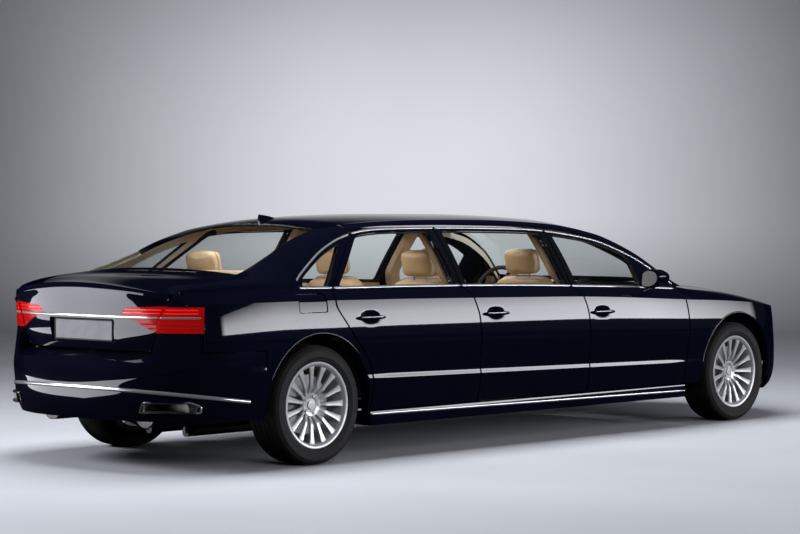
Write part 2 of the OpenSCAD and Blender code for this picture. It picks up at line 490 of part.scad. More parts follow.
// wheels: all sizes along the axle from the wheel's centre plane, outboard positive
module turned(x, y, z) { translate([x, y, z]) rotate([-90, 0, 0]) children(); }
module corner(x, y) { if (y > 0) translate([x, y, tyre_radius]) children();
    else translate([x, y, tyre_radius]) mirror([0, 1, 0]) children(); }
module tyre() rotate([-90, 0, 0]) rotate_extrude($fa = 4) polygon([
    [rim_radius + seat_gap, -99], [256, -99.5], [275, -121], [300, -tyre_width / 2], [325, -124], [345,
        -113],
    [tyre_radius - 3, -98], [tyre_radius, -80], [tyre_radius, 80], [tyre_radius - 3, 98], [345, 113],
        [325, 124],
    [300, tyre_width / 2], [275, 121], [256, 99.5], [rim_radius + seat_gap, 99]]);
module rim() rotate([-90, 0, 0]) difference() {
    union() {
        translate([0, 0, -20]) cylinder(r = 68, h = 65);
        translate([0, 0, -12]) cylinder(r = 178, h = 26);
        wheel_face();
    }
    translate([0, 0, -30]) cylinder(r = 28 + run, h = 54);
}
module wheel_face() difference() {
    rotate_extrude($fa = 4) polygon([[0, 40], [70, 40], [112, 60], [226, 78], [224, -114], [258, -114],
        [258, -104],
        [rim_radius, -100], [rim_radius, 100], [258, 104], [258, 114], [240, 114], [228, 100], [112, 84],
            [72, 62],
        [62, 66], [0, 66]]);
    for (k = [0 : spokes - 1]) rotate([0, 0, k * 360 / spokes]) translate([0, 0, 30]) linear_extrude(100)
        polygon([for (p = [[98, -1, 10], [216, -1, 9], [216, 1, 9], [98, 1, 10]])
            let (h = 180 / spokes - asin(p[2] / p[0])) [p[0] * cos(p[1] * h), p[0] * sin(p[1] * h)]]);
}
module upright() {
    rotate([-90, 0, 0]) translate([0, 0, -60]) cylinder(r = 28, h = 80);
    translate([-45, -95, -110]) cube([90, 66, 220]);
    difference() {
        translate([-200, -60, -60]) cube([160, 94, 120]);
        translate([-184, -23, -70]) cube([230, 42, 140]);
        translate([-130, 10, -70]) cube([150, 36, 140]);
    }
}
module knuckle() {
    upright();
    translate([0, -60, -144]) cylinder(r = 12, h = 60);
    translate([0, -60, 84]) cylinder(r = 12, h = 60);
}
module arm_pair(y) {
    for (z = [-140, 116]) translate([0, 0, z]) difference() {
        union() {
            translate([0, -60, 0]) cylinder(r = 26, h = 24);
            translate([-25, -y + 430, 2]) cube([50, y - 490, 20]);
        }
        translate([0, -60, -5]) cylinder(r = 12 + run, h = 40);
    }
}
module front_subframe() color("#3a3b3d") {
    corner(axle_f, track_front / 2) arm_pair(track_front / 2);
    corner(axle_f, -track_front / 2) arm_pair(track_front / 2);
    pair() translate([axle_f - 60, 380, 210]) cube([120, 60, 300]);
    translate([axle_f - 60, -390, 210]) cube([120, 780, 60]);
    pair() translate([1670.3, 380, 500]) cube([1230, 80, 90]);
    translate([2880, -600, 500]) cube([50, 1200, 90]);
}
module rear_axle() color("#3a3b3d") {
    corner(axle_r, track_rear / 2) upright();
    corner(axle_r, -track_rear / 2) upright();
    translate([axle_r - 60, -740, 290]) cube([120, 1480, 70]);
}

module floor_pan() color("#2b2c2e") {
    translate([-1590, -761.7, 206]) cube([3230, 1523.4, 30]);
    along_x(-1500, 1640) polygon([[-140, 230], [-110, 330], [110, 330], [140, 230]]);
    translate([1640, -740, 206]) cube([30, 1480, 674]);
    translate([-1620, -618, 206]) cube([30, 1236, 213.7]);
}
module boot_floor() color("#2b2c2e") {
    translate([-2960, -618, 420]) cube([1348, 1236, 30]);
    translate([-2180, -618, 440]) cube([30, 1236, 560]);
    pair() translate([-2480, 600, 440]) cube([870, 18, 370]);
    translate([-2960, -618, 420]) cube([30, 1236, 190]);
}
module wheelhouse(x, y0, y1, foot) intersection() {
    translate([x, y1, tyre_radius]) rotate([90, 0, 0]) difference() {
        cylinder(r = arch_radius + 27, h = y1 - y0);
        translate([0, 0, -1]) cylinder(r = arch_radius + 5, h = y1 - y0 + 2);
    }
    translate([x - 600, y0 - 10, foot]) cube([1200, y1 - y0 + 20, 700]);
}
module wheelhouses() color("#202123") pair() {
    wheelhouse(axle_r, 618.3, plan(-2500) - wall - 0.5, 372);
    wheelhouse(axle_f, 460.3, plan(2620) - 82, 300);
    translate([axle_f - 40, 840, tyre_radius + arch_radius + 8]) cube([80, side(axle_f, 796) - 41 - 840,
        14]);
}
// the shelf and the beam are cut down where the lid's front corners swing
module parcel_shelf() color("#b8a588") difference() {
    union() {
        translate([-2660, -560, 1000.3]) cube([500, 1120, 25]);
        lid_beam();
    }
    pair() translate([-2670, 440, 1008]) cube([135, 260, 60]);
}
module cowl() color("#151515") {
    along_y(-590, 590) polygon([[1640, 880.3], [1710, 880.3], [1710, 930], [1788, 948], [1788, 966],
        [1640, 968]]);
    pair() {
        translate([1670.3, 650, 840]) cube([45, 14, 66]);
        axle_pin(BONNET_AXIS[0], 600, 655, BONNET_AXIS[2], pin_r);
    }
}
// the dashboard holds the steering column in a blind bore
module dashboard() color("#1b1b1d") difference() {
    along_y(-700, 700) polygon([[1200, 880], [1235, 968], [1420, 990], [1600, 960], [1639.7, 900],
        [1639.7, 640], [1380, 600], [1260, 720]]);
    translate(WHEEL_POS) rotate([0, -WHEEL_TILT, 0]) translate([0, 0, -205]) cylinder(r = 16 + run,
        h = 180);
}
module console() color("#8a7458") along_y(-105, 105)
    polygon([[-1500, 330.3], [1330, 330.3], [1330, 590], [1180, 640], [700, 560], [-1500, 560]]);
// seats: hip x, distance of the pair's centres from the middle, half width
SEATS = [[823, 400, 250], [-209, 400, 250], [-1390, 375, 218]];
module seat(x, y, w) translate([x, y, 0]) {
    along_y(-w, w) polygon([[-180, 236.3], [300, 236.3], [320, 440], [290, 480], [-150, 450], [-330, 1060],
        [-400, 1060], [-285, 475], [-192, 440]]);
    along_y(-130, 130) polygon([[-395, 1050], [-335, 1050], [-345, 1235], [-375, 1245], [-430, 1235],
        [-435, 1120]]);
}
module front_seats() color("#c8b48f") for (s = [-1, 1]) seat(SEATS[0][0], s * SEATS[0][1], SEATS[0][2]);
module rear_seats() color("#c8b48f") for (k = [1, 2]) for (s = [-1, 1]) seat(SEATS[k][0],
    s * SEATS[k][1], SEATS[k][2]);
WHEEL_POS = [1075, 400, 935];
WHEEL_TILT = 65;
module steering_wheel() color("#151515") translate(WHEEL_POS) rotate([0, -WHEEL_TILT, 0]) {
    rotate_extrude($fa = 5) translate([185, 0]) circle(r = 15);
    cylinder(r = 60, h = 40, center = true);
    for (a = [90, 210, 330]) rotate([0, 0, a]) translate([0, -14, -8]) cube([180, 28, 16]);
    translate([0, 0, -200]) cylinder(r = 16, h = 200);
}
module engine() color("#4a4b4d") translate([1900, -290, 320]) cube([760, 580, 480]);
module rod(a, b, r) { d = b - a; l = norm(d);
    translate(a) rotate([0, acos(d[2] / l), atan2(d[1], d[0])]) cylinder(r = r, h = l); }
function tip(m) = [[560 + m, 352 + m], [580 + m, 412 - m], [800 - m, 412 - m], [830 - 1.6 * m, 390 - m],
    [820 - m, 352 + m]];
module exhaust() color("#55565a") pair() {
    rod([1500, 170, 175.5], [-2410, 170, 175.5], 30);
    rod([-2380, 170, 175.5], [-2600, 430, 334], 26);
    rod([-2560, 430, 334.5], [-2950, 430, 334.5], 85);
    translate([-2940, 400, 354.5]) cube([32, 300, 44]);
    intersection() {
        along_x(-3300, -2896) difference() { polygon(tip(0.5)); polygon(tip(6)); }
        translate([0, 0, 340]) linear_extrude(height = 90) polygon(concat([[-2880, 840], [-2880, 540]],
            [for (y = [540 : 30 : 840]) [tail_x - 870 * oval(y / 956, 3), y]]));
    }
    translate([-2945, 580, 354]) cube([41, 220, 50]);
}
module mirror_shell() {
    ring = [[0, 0], [60, -6], [120, 6], [160, 40], [165, 90], [130, 125], [60, 130], [10, 110]];
    sweep([for (s = [[1060, 0.9], [1085, 1], [1150, 0.96], [1210, 0.75], [1235, 0.45]]) [for (p = ring)
        [s[0], 935 + mix(60, p[0], s[1]), 985 + mix(60, p[1], s[1])]]]);
    translate([1120, 913, 958]) cube([60, 60, 40]);
}

module side_frames() color("#10131f") pair() side_frame();
module quarter_panels() color("#10131f") { quarter_panel(false); mirror([0, 1, 0]) quarter_panel(true); }
module roof() color("#10131f") union() {
    plate(roof_grid(0), roof_grid(roof_wall));
    along_y(-7, 7) polygon([[-1650, 1425], [-1648, 1478], [-1630, 1488], [-1600, 1478], [-1500, 1464],
        [-1500, 1445]]);
}
module quarter_pane() intersection() {
    plate([for (i = [7 : 11]) [for (j = [0 : 6]) let (x = mix(-2180, -1560, j / 6),
        z = rows(x)[i] + (i == 7 ? -20 : 20)) [x, side(x, rows(x)[i]) - 14, z]]],
          [for (i = [7 : 11]) [for (j = [0 : 6]) let (x = mix(-2180, -1560, j / 6),
              z = rows(x)[i] + (i == 7 ? -20 : 20)) [x, side(x, rows(x)[i]) - 14 - pane, z]]]);
    along_y(300, 1100) polygon(QUARTER_PANE[1]);
}
module fixed_glass() color("#8fa3ad") {
    plate(screen_grid(0), screen_grid(pane));
    plate(back_grid(0), back_grid(pane));
    pair() quarter_pane();
}
module front_wings() color("#10131f") pair() wing();
module headlamps() color("#d8dde2") pair() headlamp();
module tail_lamps() color("#a01418") pair() tail_lamp();
module lid_lamps() color("#a01418") intersection() {
    plate(lid_grid(0), lid_grid(19.7));
    pair() lid_lamp_prism(0.4);
}
module rear_door_l() color("#10131f") door(1);
module rear_door_r() color("#10131f") mirror([0, 1, 0]) door(1);
module middle_door_l() color("#10131f") door(2);
module middle_door_r() color("#10131f") mirror([0, 1, 0]) door(2);
module front_door_l() color("#10131f") door(3);
module front_door_r() color("#10131f") mirror([0, 1, 0]) door(3);
module rear_pane_l() color("#8fa3ad") door_pane(1);
module rear_pane_r() color("#8fa3ad") mirror([0, 1, 0]) door_pane(1);
module middle_pane_l() color("#8fa3ad") door_pane(2);
module middle_pane_r() color("#8fa3ad") mirror([0, 1, 0]) door_pane(2);
module front_pane_l() color("#8fa3ad") door_pane(3);
module front_pane_r() color("#8fa3ad") mirror([0, 1, 0]) door_pane(3);
module mirror_l() color("#10131f") mirror_shell();
module mirror_r() color("#10131f") mirror([0, 1, 0]) mirror_shell();
module rim_fl() color("#c4c8cc") corner(axle_f, track_front / 2) rim();
module rim_fr() color("#c4c8cc") corner(axle_f, -track_front / 2) rim();
module rim_rl() color("#c4c8cc") corner(axle_r, track_rear / 2) rim();
module rim_rr() color("#c4c8cc") corner(axle_r, -track_rear / 2) rim();
module tyre_fl() color("#1c1c1c") corner(axle_f, track_front / 2) tyre();
module tyre_fr() color("#1c1c1c") corner(axle_f, -track_front / 2) tyre();
module tyre_rl() color("#1c1c1c") corner(axle_r, track_rear / 2) tyre();
module tyre_rr() color("#1c1c1c") corner(axle_r, -track_rear / 2) tyre();
module knuckle_l() color("#55565a") corner(axle_f, track_front / 2) knuckle();
module knuckle_r() color("#55565a") corner(axle_f, -track_front / 2) knuckle();

floor_pan();
boot_floor();
side_frames();
quarter_panels();
roof();
fixed_glass();
front_wings();
front_bumper();
rear_bumper();
grille();
headlamps();
tail_lamps();
cowl();
wheelhouses();
parcel_shelf();
front_subframe();
rear_axle();
engine();
exhaust();
dashboard();
console();
front_seats();
rear_seats();
steering_wheel();
hood();
trunk_lid();
lid_lamps();
fuel_flap();
rear_door_l();
rear_door_r();
middle_door_l();
middle_door_r();
front_door_l();
front_door_r();
rear_pane_l();
rear_pane_r();
middle_pane_l();
middle_pane_r();
front_pane_l();
front_pane_r();
mirror_l();
mirror_r();
rim_fl();
rim_fr();
rim_rl();
rim_rr();
tyre_fl();
tyre_fr();
tyre_rl();
tyre_rr();
knuckle_l();
knuckle_r();
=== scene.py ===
import math
import bpy
import bmesh
import numpy as np
from mathutils import Matrix, Vector


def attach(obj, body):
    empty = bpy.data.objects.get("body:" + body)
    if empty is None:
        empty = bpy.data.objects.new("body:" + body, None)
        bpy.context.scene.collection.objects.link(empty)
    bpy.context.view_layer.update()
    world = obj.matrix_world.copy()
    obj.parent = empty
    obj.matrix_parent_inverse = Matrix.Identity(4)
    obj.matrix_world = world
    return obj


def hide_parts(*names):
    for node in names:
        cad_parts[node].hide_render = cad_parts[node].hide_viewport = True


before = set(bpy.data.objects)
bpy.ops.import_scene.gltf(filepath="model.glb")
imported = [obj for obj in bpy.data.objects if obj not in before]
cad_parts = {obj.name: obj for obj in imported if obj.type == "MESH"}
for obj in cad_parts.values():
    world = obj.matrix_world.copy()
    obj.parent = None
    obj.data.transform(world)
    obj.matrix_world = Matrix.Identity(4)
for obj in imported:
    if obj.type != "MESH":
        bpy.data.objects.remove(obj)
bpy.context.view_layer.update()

# sizes in millimetres, as in the part's source; meshes are written in metres
MM = 0.001
SIDES = (("l", 1), ("r", -1))
HALF_L, HALF_W = 3180, 974.5
AXLE_F, AXLE_R = 2173, -2047
NOSE_X, TAIL_X = 2300, -2300
TYRE_R, ARCH_R = 356, 425
DOOR_GAP, LAP, WALL, FRAME_WALL, PANE = 8, 20, 90, 40, 5
EDGE_ROLL = 3.0

# station heights along the body: x, shoulder crease, belt, top of the door openings
LINES = np.array([
    [-3180, 940, 985, 993], [-2990, 962, 1012, 1020], [-2912, 970, 1034, 1043], [-2470, 974, 1049, 1079],
    [-2199, 975, 1047, 1078], [-2087, 974, 1045, 1143], [-1956, 973, 1043, 1215],
    [-1823, 972, 1041, 1278], [-1655, 970, 1040, 1337], [-1484, 969, 1039, 1377],
    [-1299, 967, 1039, 1397], [-1017, 963, 1036, 1404], [-547, 956, 1030, 1406],
    [-56, 948, 1021, 1400], [245, 943, 1012, 1392], [448, 938, 1005, 1376],
    [745, 928, 996, 1339], [939, 920, 989, 1298], [1199, 908, 979, 1195],
    [1349, 901, 972, 1108], [1450, 896, 967, 1042], [1543, 892, 962, 982], [1620, 888, 958, 970],
    [1976, 874, 944, 956], [2400, 848, 915, 925], [2700, 815, 880, 890], [3180, 740, 800, 810]], float)
# edge of the roof, the glass and the lids: x, half width, height
EDGE = np.array([
    [-3080, 684, 1003], [-3010, 704, 1029], [-2950, 720, 1048], [-2800, 742, 1086], [-2640, 736, 1110],
    [-2470, 706, 1133], [-2342, 674, 1168], [-2134, 626, 1245], [-1982, 597, 1312], [-1827, 577, 1362],
    [-1700, 570, 1394],
    [-1478, 568, 1424], [-1000, 567, 1447], [-471, 566, 1452], [24, 568, 1446], [519, 582, 1421],
    [740, 594, 1394], [818, 602, 1380], [1014, 628, 1335], [1275, 692, 1222], [1428, 744, 1118],
    [1590, 806, 1000], [1640, 824, 966]], float)
# centre line over the windscreen, roof, rear window and deck: x, height
CROWN = np.array([
    [-3150, 1083], [-2950, 1104], [-2800, 1118], [-2640, 1129], [-2560, 1150], [-2134, 1296], [-1900, 1375],
    [-1700, 1433], [-1478, 1464], [-1000, 1486], [-471, 1491], [24, 1488], [519, 1471], [740, 1452],
    [1014, 1345], [1428, 1163], [1800, 1000]], float)
# door edges by height: z, rear door trailing, rear to middle, middle to front, front door leading
SPLIT = np.array([
    [290, -1600, -628, 472, 1550], [450, -1598, -626, 473, 1560], [564, -1618, -626, 473, 1574],
    [654, -1679, -627, 472, 1586], [733, -1747, -628, 471, 1585], [852, -1844, -640, 455, 1572],
    [934, -1903, -668, 425, 1556], [986, -1905, -690, 400, 1548], [1042, -1880, -734, 362, 1543],
    [1215, -1685, -737, 366, 1543], [1312, -1575, -730, 370, 1543], [1400, -1484, -720, 374, 1543]], float)
# bonnet and wing tops: x, centre height, height at the bonnet's edge, half width of the bonnet
BONNET = np.array([
    [1640, 1012, 966, 824], [1800, 1004, 955, 812], [2245, 982, 920, 780], [2484, 958, 890, 755],
    [2728, 915, 848, 722], [2900, 872, 806, 690], [3020, 832, 768, 655]], float)
# handles by door: x, z of the middle
HANDLES = [(-1626, 863), (-482, 855), (606, 833)]
# side windows by door: rear edge bottom and top, front edge bottom and top
WINDOWS = [(-1818, -1478, -782, -794), (-680, -668, 318, 308), (426, 430, 1140, 1130)]
DOORS = ("rear", "middle", "front")


def curve(t, k, x):
    """Smooth curve through column k of a table at x."""
    xs, v = t[:, 0], t[:, k]
    lean = np.gradient(v, xs, edge_order=1)
    lean[1:-1] = (v[2:] - v[:-2]) / (xs[2:] - xs[:-2])
    x = np.asarray(x, float)
    i = np.clip(np.searchsorted(xs, x, side="right") - 1, 0, len(xs) - 2)
    h = xs[i + 1] - xs[i]
    u = np.clip((x - xs[i]) / h, 0, 1)
    return (v[i] * (2 * u**3 - 3 * u**2 + 1) + lean[i] * h * (u**3 - 2 * u**2 + u)
            + v[i + 1] * (3 * u**2 - 2 * u**3) + lean[i + 1] * h * (u**3 - u**2))


def mix(a, b, f):
    return a + (b - a) * f


def bow(a, c, b, f):
    """Point at share f of the arc from a to b that leans towards c."""
    return (1 - f) ** 2 * a + 2 * f * (1 - f) * c + f * f * b


def around(count):
    """Evenly spaced angles round a circle."""
    return np.linspace(0, 2 * math.pi, count, endpoint=False)


def oval(u, n):
    return np.maximum(1 - np.minimum(np.abs(u), 1) ** n, 0) ** (1 / n)


def plan(x):
    """Half width of the body in plan."""
    x = np.asarray(x, float)
    w = HALF_W - 8.5
    return np.where(x > NOSE_X, w * oval((x - NOSE_X) / (HALF_L - NOSE_X), 2.55),
                    np.where(x < TAIL_X, w * oval((TAIL_X - x) / (HALF_L + TAIL_X), 3),
                             HALF_W - 8.5 * (x / NOSE_X) ** 2))


def shoulder(x):
    return curve(LINES, 1, x)


def belt(x):
    return curve(LINES, 2, x)


def opening(x):
    return np.maximum(curve(LINES, 3, x), belt(x) + 8)


def blade(x):
    return 497 - 0.0145 * np.asarray(x, float)


def tuck(x, z):
    """How far the side lies inside its widest line at height z."""
    c, s, b = blade(x), shoulder(x), belt(x)
    t = np.clip((z - c) / (s - c), 0, 1)
    flank = np.where(t < 0.45, 4 * (1 - t / 0.45) ** 2, 20 * (np.maximum(t - 0.45, 0) / 0.55) ** 2)
    low = np.maximum((c - z) / (c - 300), 0)
    return np.where(z > b, 80 + 0.55 * (z - b) + 0.00038 * (z - b) ** 2,
                    np.where(z > s, 20 + 60 * (z - s) / (b - s),
                             np.where(z > c, flank, 4 + 22 * low + 14 * low**3)))


def ledge(x, z):
    """Pressed line along the lower doors: the side draws in above it and steps out below."""
    top, foot = blade(x) + 8, blade(x) - 34
    above = np.clip(1 - (z - top) / 190, 0, 1)
    below = np.clip((z - foot) / (top - foot), 0, 1)
    ease = np.clip((2300 - np.abs(x + 60)) / 900, 0, 1)
    return 9 * ease * np.where(z > top, above**2 * (3 - 2 * above), below**2 * (3 - 2 * below))


def side(x, z):
    return plan(x) - tuck(x, z)


def skin(x, z):
    return side(x, z) - ledge(x, z)


def lining(x, z):
    return np.minimum(plan(x) - WALL, side(x, z) - FRAME_WALL)


def edge_y(x):
    return curve(EDGE, 1, x)


def edge_z(x):
    return curve(EDGE, 2, x)


def top(x, y):
    return mix(curve(CROWN, 1, x), edge_z(x), (np.abs(y) / edge_y(x)) ** 2)


def row_z(x, s):
    """Height of the side's row s: 0 door bottom, 2 blade, 5 shoulder, 7 belt, 11 opening."""
    c, sh, b, t = blade(x), shoulder(x), belt(x), opening(x)
    bottom = 300 + 0 * c
    stack = np.stack([bottom, mix(bottom, c, 0.6), c, mix(c, sh, 0.3), mix(c, sh, 0.65), sh,
                      mix(sh, b, 0.5), b, mix(b, t, 0.25), mix(b, t, 0.5), mix(b, t, 0.75), t])
    s = np.clip(np.broadcast_to(s, c.shape), 0, 11)
    i = np.minimum(s.astype(int), 10)
    f = s - i
    lo = np.take_along_axis(stack, i[None], 0)[0]
    hi = np.take_along_axis(stack, i[None] + 1, 0)[0]
    return lo + (hi - lo) * f


def meet(k, s):
    """Where door edge k crosses row s of the side."""
    x = curve(SPLIT, k, 1000.0) + 0 * s
    for _ in range(8):
        x = curve(SPLIT, k, np.minimum(row_z(x, s), 1400))
    return x


# mesh helpers
def link(name, mesh):
    ob = bpy.data.objects.new(name, mesh)
    bpy.context.scene.collection.objects.link(ob)
    return ob


def settle(ob, angle=32):
    """Merges doubles, points faces outwards and shades smooth between faces that meet at less than angle."""
    bm = bmesh.new()
    bm.from_mesh(ob.data)
    bmesh.ops.remove_doubles(bm, verts=bm.verts, dist=2e-6)
    bmesh.ops.dissolve_degenerate(bm, edges=bm.edges, dist=1e-6)
    bmesh.ops.recalc_face_normals(bm, faces=bm.faces)
    bm.to_mesh(ob.data)
    bm.free()
    ob.data.shade_smooth()
    ob.data.set_sharp_from_angle(angle=math.radians(angle))
    return ob


def shape(name, verts, faces, angle=32):
    mesh = bpy.data.meshes.new(name)
    mesh.from_pydata((np.asarray(verts, float) * MM).tolist(), [], faces)
    return settle(link(name, mesh), angle)


def grid_faces(m, n, base=0, close=False):
    k = n if close else n - 1
    here = [(base + i * n, j, (j + 1) % n) for i in range(m - 1) for j in range(k)]
    return [(row + j, row + t, row + n + t, row + n + j) for row, j, t in here]


def plate(name, a, b, angle=32):
    """Closed plate between an outer grid a and an inner grid b of points."""
    m, n = a.shape[:2]
    faces = grid_faces(m, n) + [f[::-1] for f in grid_faces(m, n, m * n)]
    rim = ([(0, j) for j in range(n)] + [(i, n - 1) for i in range(1, m)]
           + [(m - 1, j) for j in range(n - 2, -1, -1)] + [(i, 0) for i in range(m - 2, 0, -1)])
    for p, q in zip(rim, rim[1:] + rim[:1]):
        u, v = p[0] * n + p[1], q[0] * n + q[1]
        faces.append((u, u + m * n, v + m * n, v))
    return shape(name, np.concatenate([a.reshape(-1, 3), b.reshape(-1, 3)]), faces, angle)


def rolled(a, inward):
    """Outer grid with its border turned in along a vector field, so that panel edges catch the light."""
    a = a.copy()
    for sl in ((0, slice(None)), (-1, slice(None)), (slice(None), 0), (slice(None), -1)):
        a[sl] = a[sl] + inward[sl] * EDGE_ROLL
    return a


def tube(name, rings, angle=40, closed=False, caps=True):
    """Rings of points joined in turn; closed joins the last to the first."""
    m, n = len(rings), len(rings[0])
    pts = np.concatenate([np.asarray(r, float) for r in rings])
    faces = grid_faces(m, n, 0, True)
    if closed:
        faces += [((m - 1) * n + j, (m - 1) * n + (j + 1) % n, (j + 1) % n, j) for j in range(n)]
    elif caps:
        faces += [tuple(range(n))[::-1], tuple(range((m - 1) * n, m * n))]
    return shape(name, pts, faces, angle)


def lathe(name, profile, count=96, centre=(0, 0, 0), flip=1, angle=32):
    """Closed profile of (radius, offset along y) turned about the y axis."""
    prof = np.asarray(profile, float)
    rings = [np.stack([centre[0] + prof[:, 0] * math.cos(t), centre[1] + flip * prof[:, 1],
                       centre[2] + prof[:, 0] * math.sin(t)], 1) for t in around(count)]
    return tube(name, rings, angle, closed=True)


def prism(pts, axis, lo, hi):
    """An outline in the plane across an axis, run along it from lo to hi."""
    n = len(pts)
    at = "xyz".index(axis)
    verts = [(*p[:at], d, *p[at:]) for d in (lo, hi) for p in pts]
    faces = [tuple(range(n))[::-1], tuple(range(n, 2 * n))]
    faces += [(i, (i + 1) % n, n + (i + 1) % n, n + i) for i in range(n)]
    return shape("cutter", verts, faces)


def disc(x, z, r, count=96):
    return [(x + r * math.cos(t), z + r * math.sin(t)) for t in around(count)]


def crate(lo, hi):
    return prism([(lo[0], lo[1]), (hi[0], lo[1]), (hi[0], hi[1]), (lo[0], hi[1])], "z", lo[2], hi[2])


def carve(ob, cutters, operation="DIFFERENCE", angle=32):
    """Cuts with closed cutters, or keeps what lies inside them."""
    for tool in cutters:
        mod = ob.modifiers.new("carve", "BOOLEAN")
        mod.operation, mod.object, mod.solver = operation, tool, "EXACT"
    bake(ob)
    for tool in cutters:
        bpy.data.objects.remove(tool)
    return settle(ob, angle)


def bake(ob):
    """Leaves what the modifiers give as a plain mesh."""
    graph = bpy.context.evaluated_depsgraph_get()
    mesh = bpy.data.meshes.new_from_object(ob.evaluated_get(graph))
    ob.modifiers.clear()
    ob.data = mesh
    return ob


def join(name, parts):
    """One piece from several, each keeping its own materials."""
    mats = []
    bm = bmesh.new()
    for ob in parts:
        start = len(bm.faces)
        shift = len(mats)
        bm.from_mesh(ob.data)
        bm.faces.ensure_lookup_table()
        for f in bm.faces[start:]:
            f.material_index += shift
        mats += list(ob.data.materials) or [None]
        bpy.data.objects.remove(ob)
    mesh = bpy.data.meshes.new(name)
    bm.to_mesh(mesh)
    bm.free()
    for m in mats:
        mesh.materials.append(m)
    return link(name, mesh)


def paint_on(ob, mat):
    ob.data.materials.clear()
    ob.data.materials.append(mat)
    return ob


def fit(ob, mat, body, slot, *nodes):
    """Gives a piece its finish and the body that it moves with."""
    if mat is not None:
        paint_on(ob, mat)
    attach(ob, body)
    for n in nodes:
        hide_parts(n)
    return ob


def mirrored(ob, s):
    """Turns a left-hand shape into a right-hand one for s = -1."""
    if s < 0:
        co = np.empty(len(ob.data.vertices) * 3)
        ob.data.vertices.foreach_get("co", co)
        co[1::3] *= -1
        ob.data.vertices.foreach_set("co", co)
        ob.data.flip_normals()
    return ob


def outline(edges, r, n=6):
    """Closed outline from edges that meet at corners, with the corners rounded to about r."""
    def trimmed(e):
        e = np.asarray(e, float)
        d = np.concatenate([[0], np.cumsum(np.linalg.norm(np.diff(e, axis=0), axis=1))])
        cut = min(r, 0.4 * d[-1])
        t = np.linspace(cut, d[-1] - cut, max(len(e), 2))
        return np.stack([np.interp(t, d, e[:, 0]), np.interp(t, d, e[:, 1])], 1)
    cut = [trimmed(e) for e in edges]
    pts = []
    for k, e in enumerate(cut):
        pts += e.tolist()
        a, c, b = e[-1], np.asarray(edges[k][-1], float), cut[(k + 1) % len(cut)][0]
        for t in np.linspace(0, 1, n + 1)[1:-1]:
            pts.append(bow(a, c, b, t).tolist())
    return pts


def rounded(pts, r, n=6):
    """Closed outline through corner points, with the corners rounded to about r."""
    return outline([[a, b] for a, b in zip(pts, pts[1:] + pts[:1])], r, n)


def box_outline(x0, x1, z0, z1, r):
    return rounded([(x0, z0), (x1, z0), (x1, z1), (x0, z1)], r)


def strip(name, path, out, width, height, closed=False, ends=0.35):
    """Domed strip along a path on a surface with outward directions out."""
    p = np.asarray(path, float)
    o = np.asarray(out, float)
    o = o / np.linalg.norm(o, axis=1, keepdims=True)
    run = (np.roll(p, -1, 0) - np.roll(p, 1, 0)) if closed else np.gradient(p, axis=0)
    run = run / np.linalg.norm(run, axis=1, keepdims=True)
    across = np.cross(o, run)
    half = [(-0.5, -0.6), (-0.5, 0.25), (-0.38, 0.75), (-0.15, 1.0)]
    prof = half + [(-a, b) for a, b in half[::-1]]
    taper = np.ones(len(p))
    if not closed:
        taper[0] = taper[-1] = ends
    rings = [[at + to * (a * width * k) + up * (b * height) for a, b in prof]
             for at, to, up, k in zip(p, across, o, taper)]
    return tube(name, rings, 50, closed)


def on_side(x, z, lift=0.0, face=skin):
    """Points and outward directions on the left side."""
    x, z = np.asarray(x, float), np.asarray(z, float)
    h = 2.0
    y = face(x, z)
    dx = (face(x + h, z) - face(x - h, z)) / (2 * h)
    dz = (face(x, z + h) - face(x, z - h)) / (2 * h)
    n = np.stack([-dx, np.ones_like(dx), -dz], -1)
    n /= np.linalg.norm(n, axis=-1, keepdims=True)
    return np.stack([x, y, z], -1) + n * lift, n


# finishes
def finish(name, colour, rough, metal=0.0, coat=0.0, ior=1.5, spec=0.5, sheen=0.0):
    mat = bpy.data.materials.new(name)
    mat.use_nodes = True
    p = mat.node_tree.nodes["Principled BSDF"]
    p.inputs["Base Color"].default_value = (*colour, 1)
    p.inputs["Roughness"].default_value = rough
    p.inputs["Metallic"].default_value = metal
    p.inputs["Coat Weight"].default_value = coat
    p.inputs["Coat Roughness"].default_value = 0.03
    p.inputs["IOR"].default_value = ior
    p.inputs["Specular IOR Level"].default_value = spec
    p.inputs["Sheen Weight"].default_value = sheen
    return mat


def texture(mat, kind, scale, stretch=(1, 1, 1), **inputs):
    """Noise or Voronoi pattern on Object coordinates; returns its node."""
    nt = mat.node_tree
    where = nt.nodes.new("ShaderNodeTexCoord")
    place = nt.nodes.new("ShaderNodeMapping")
    place.inputs["Scale"].default_value = stretch
    nt.links.new(where.outputs["Object"], place.inputs["Vector"])
    tex = nt.nodes.new({"noise": "ShaderNodeTexNoise", "cells": "ShaderNodeTexVoronoi"}[kind])
    tex.inputs["Scale"].default_value = scale
    for k, v in inputs.items():
        tex.inputs[k].default_value = v
    nt.links.new(place.outputs["Vector"], tex.inputs["Vector"])
    return tex


def ramp(mat, value, stops, socket):
    """Sends a pattern through colour stops to a socket of the shader."""
    nt = mat.node_tree
    node = nt.nodes.new("ShaderNodeValToRGB")
    el = node.color_ramp.elements
    while len(el) < len(stops):
        el.new(0.5)
    for e, (at, col) in zip(el, stops):
        e.position, e.color = at, (*col, 1)
    nt.links.new(value, node.inputs["Fac"])
    nt.links.new(node.outputs["Color"], nt.nodes["Principled BSDF"].inputs[socket])
    return node


def spread(mat, value, lo, hi, socket):
    """Maps a pattern onto a range for a number socket."""
    nt = mat.node_tree
    node = nt.nodes.new("ShaderNodeMapRange")
    node.inputs["To Min"].default_value, node.inputs["To Max"].default_value = lo, hi
    nt.links.new(value, node.inputs["Value"])
    nt.links.new(node.outputs["Result"], nt.nodes["Principled BSDF"].inputs[socket])


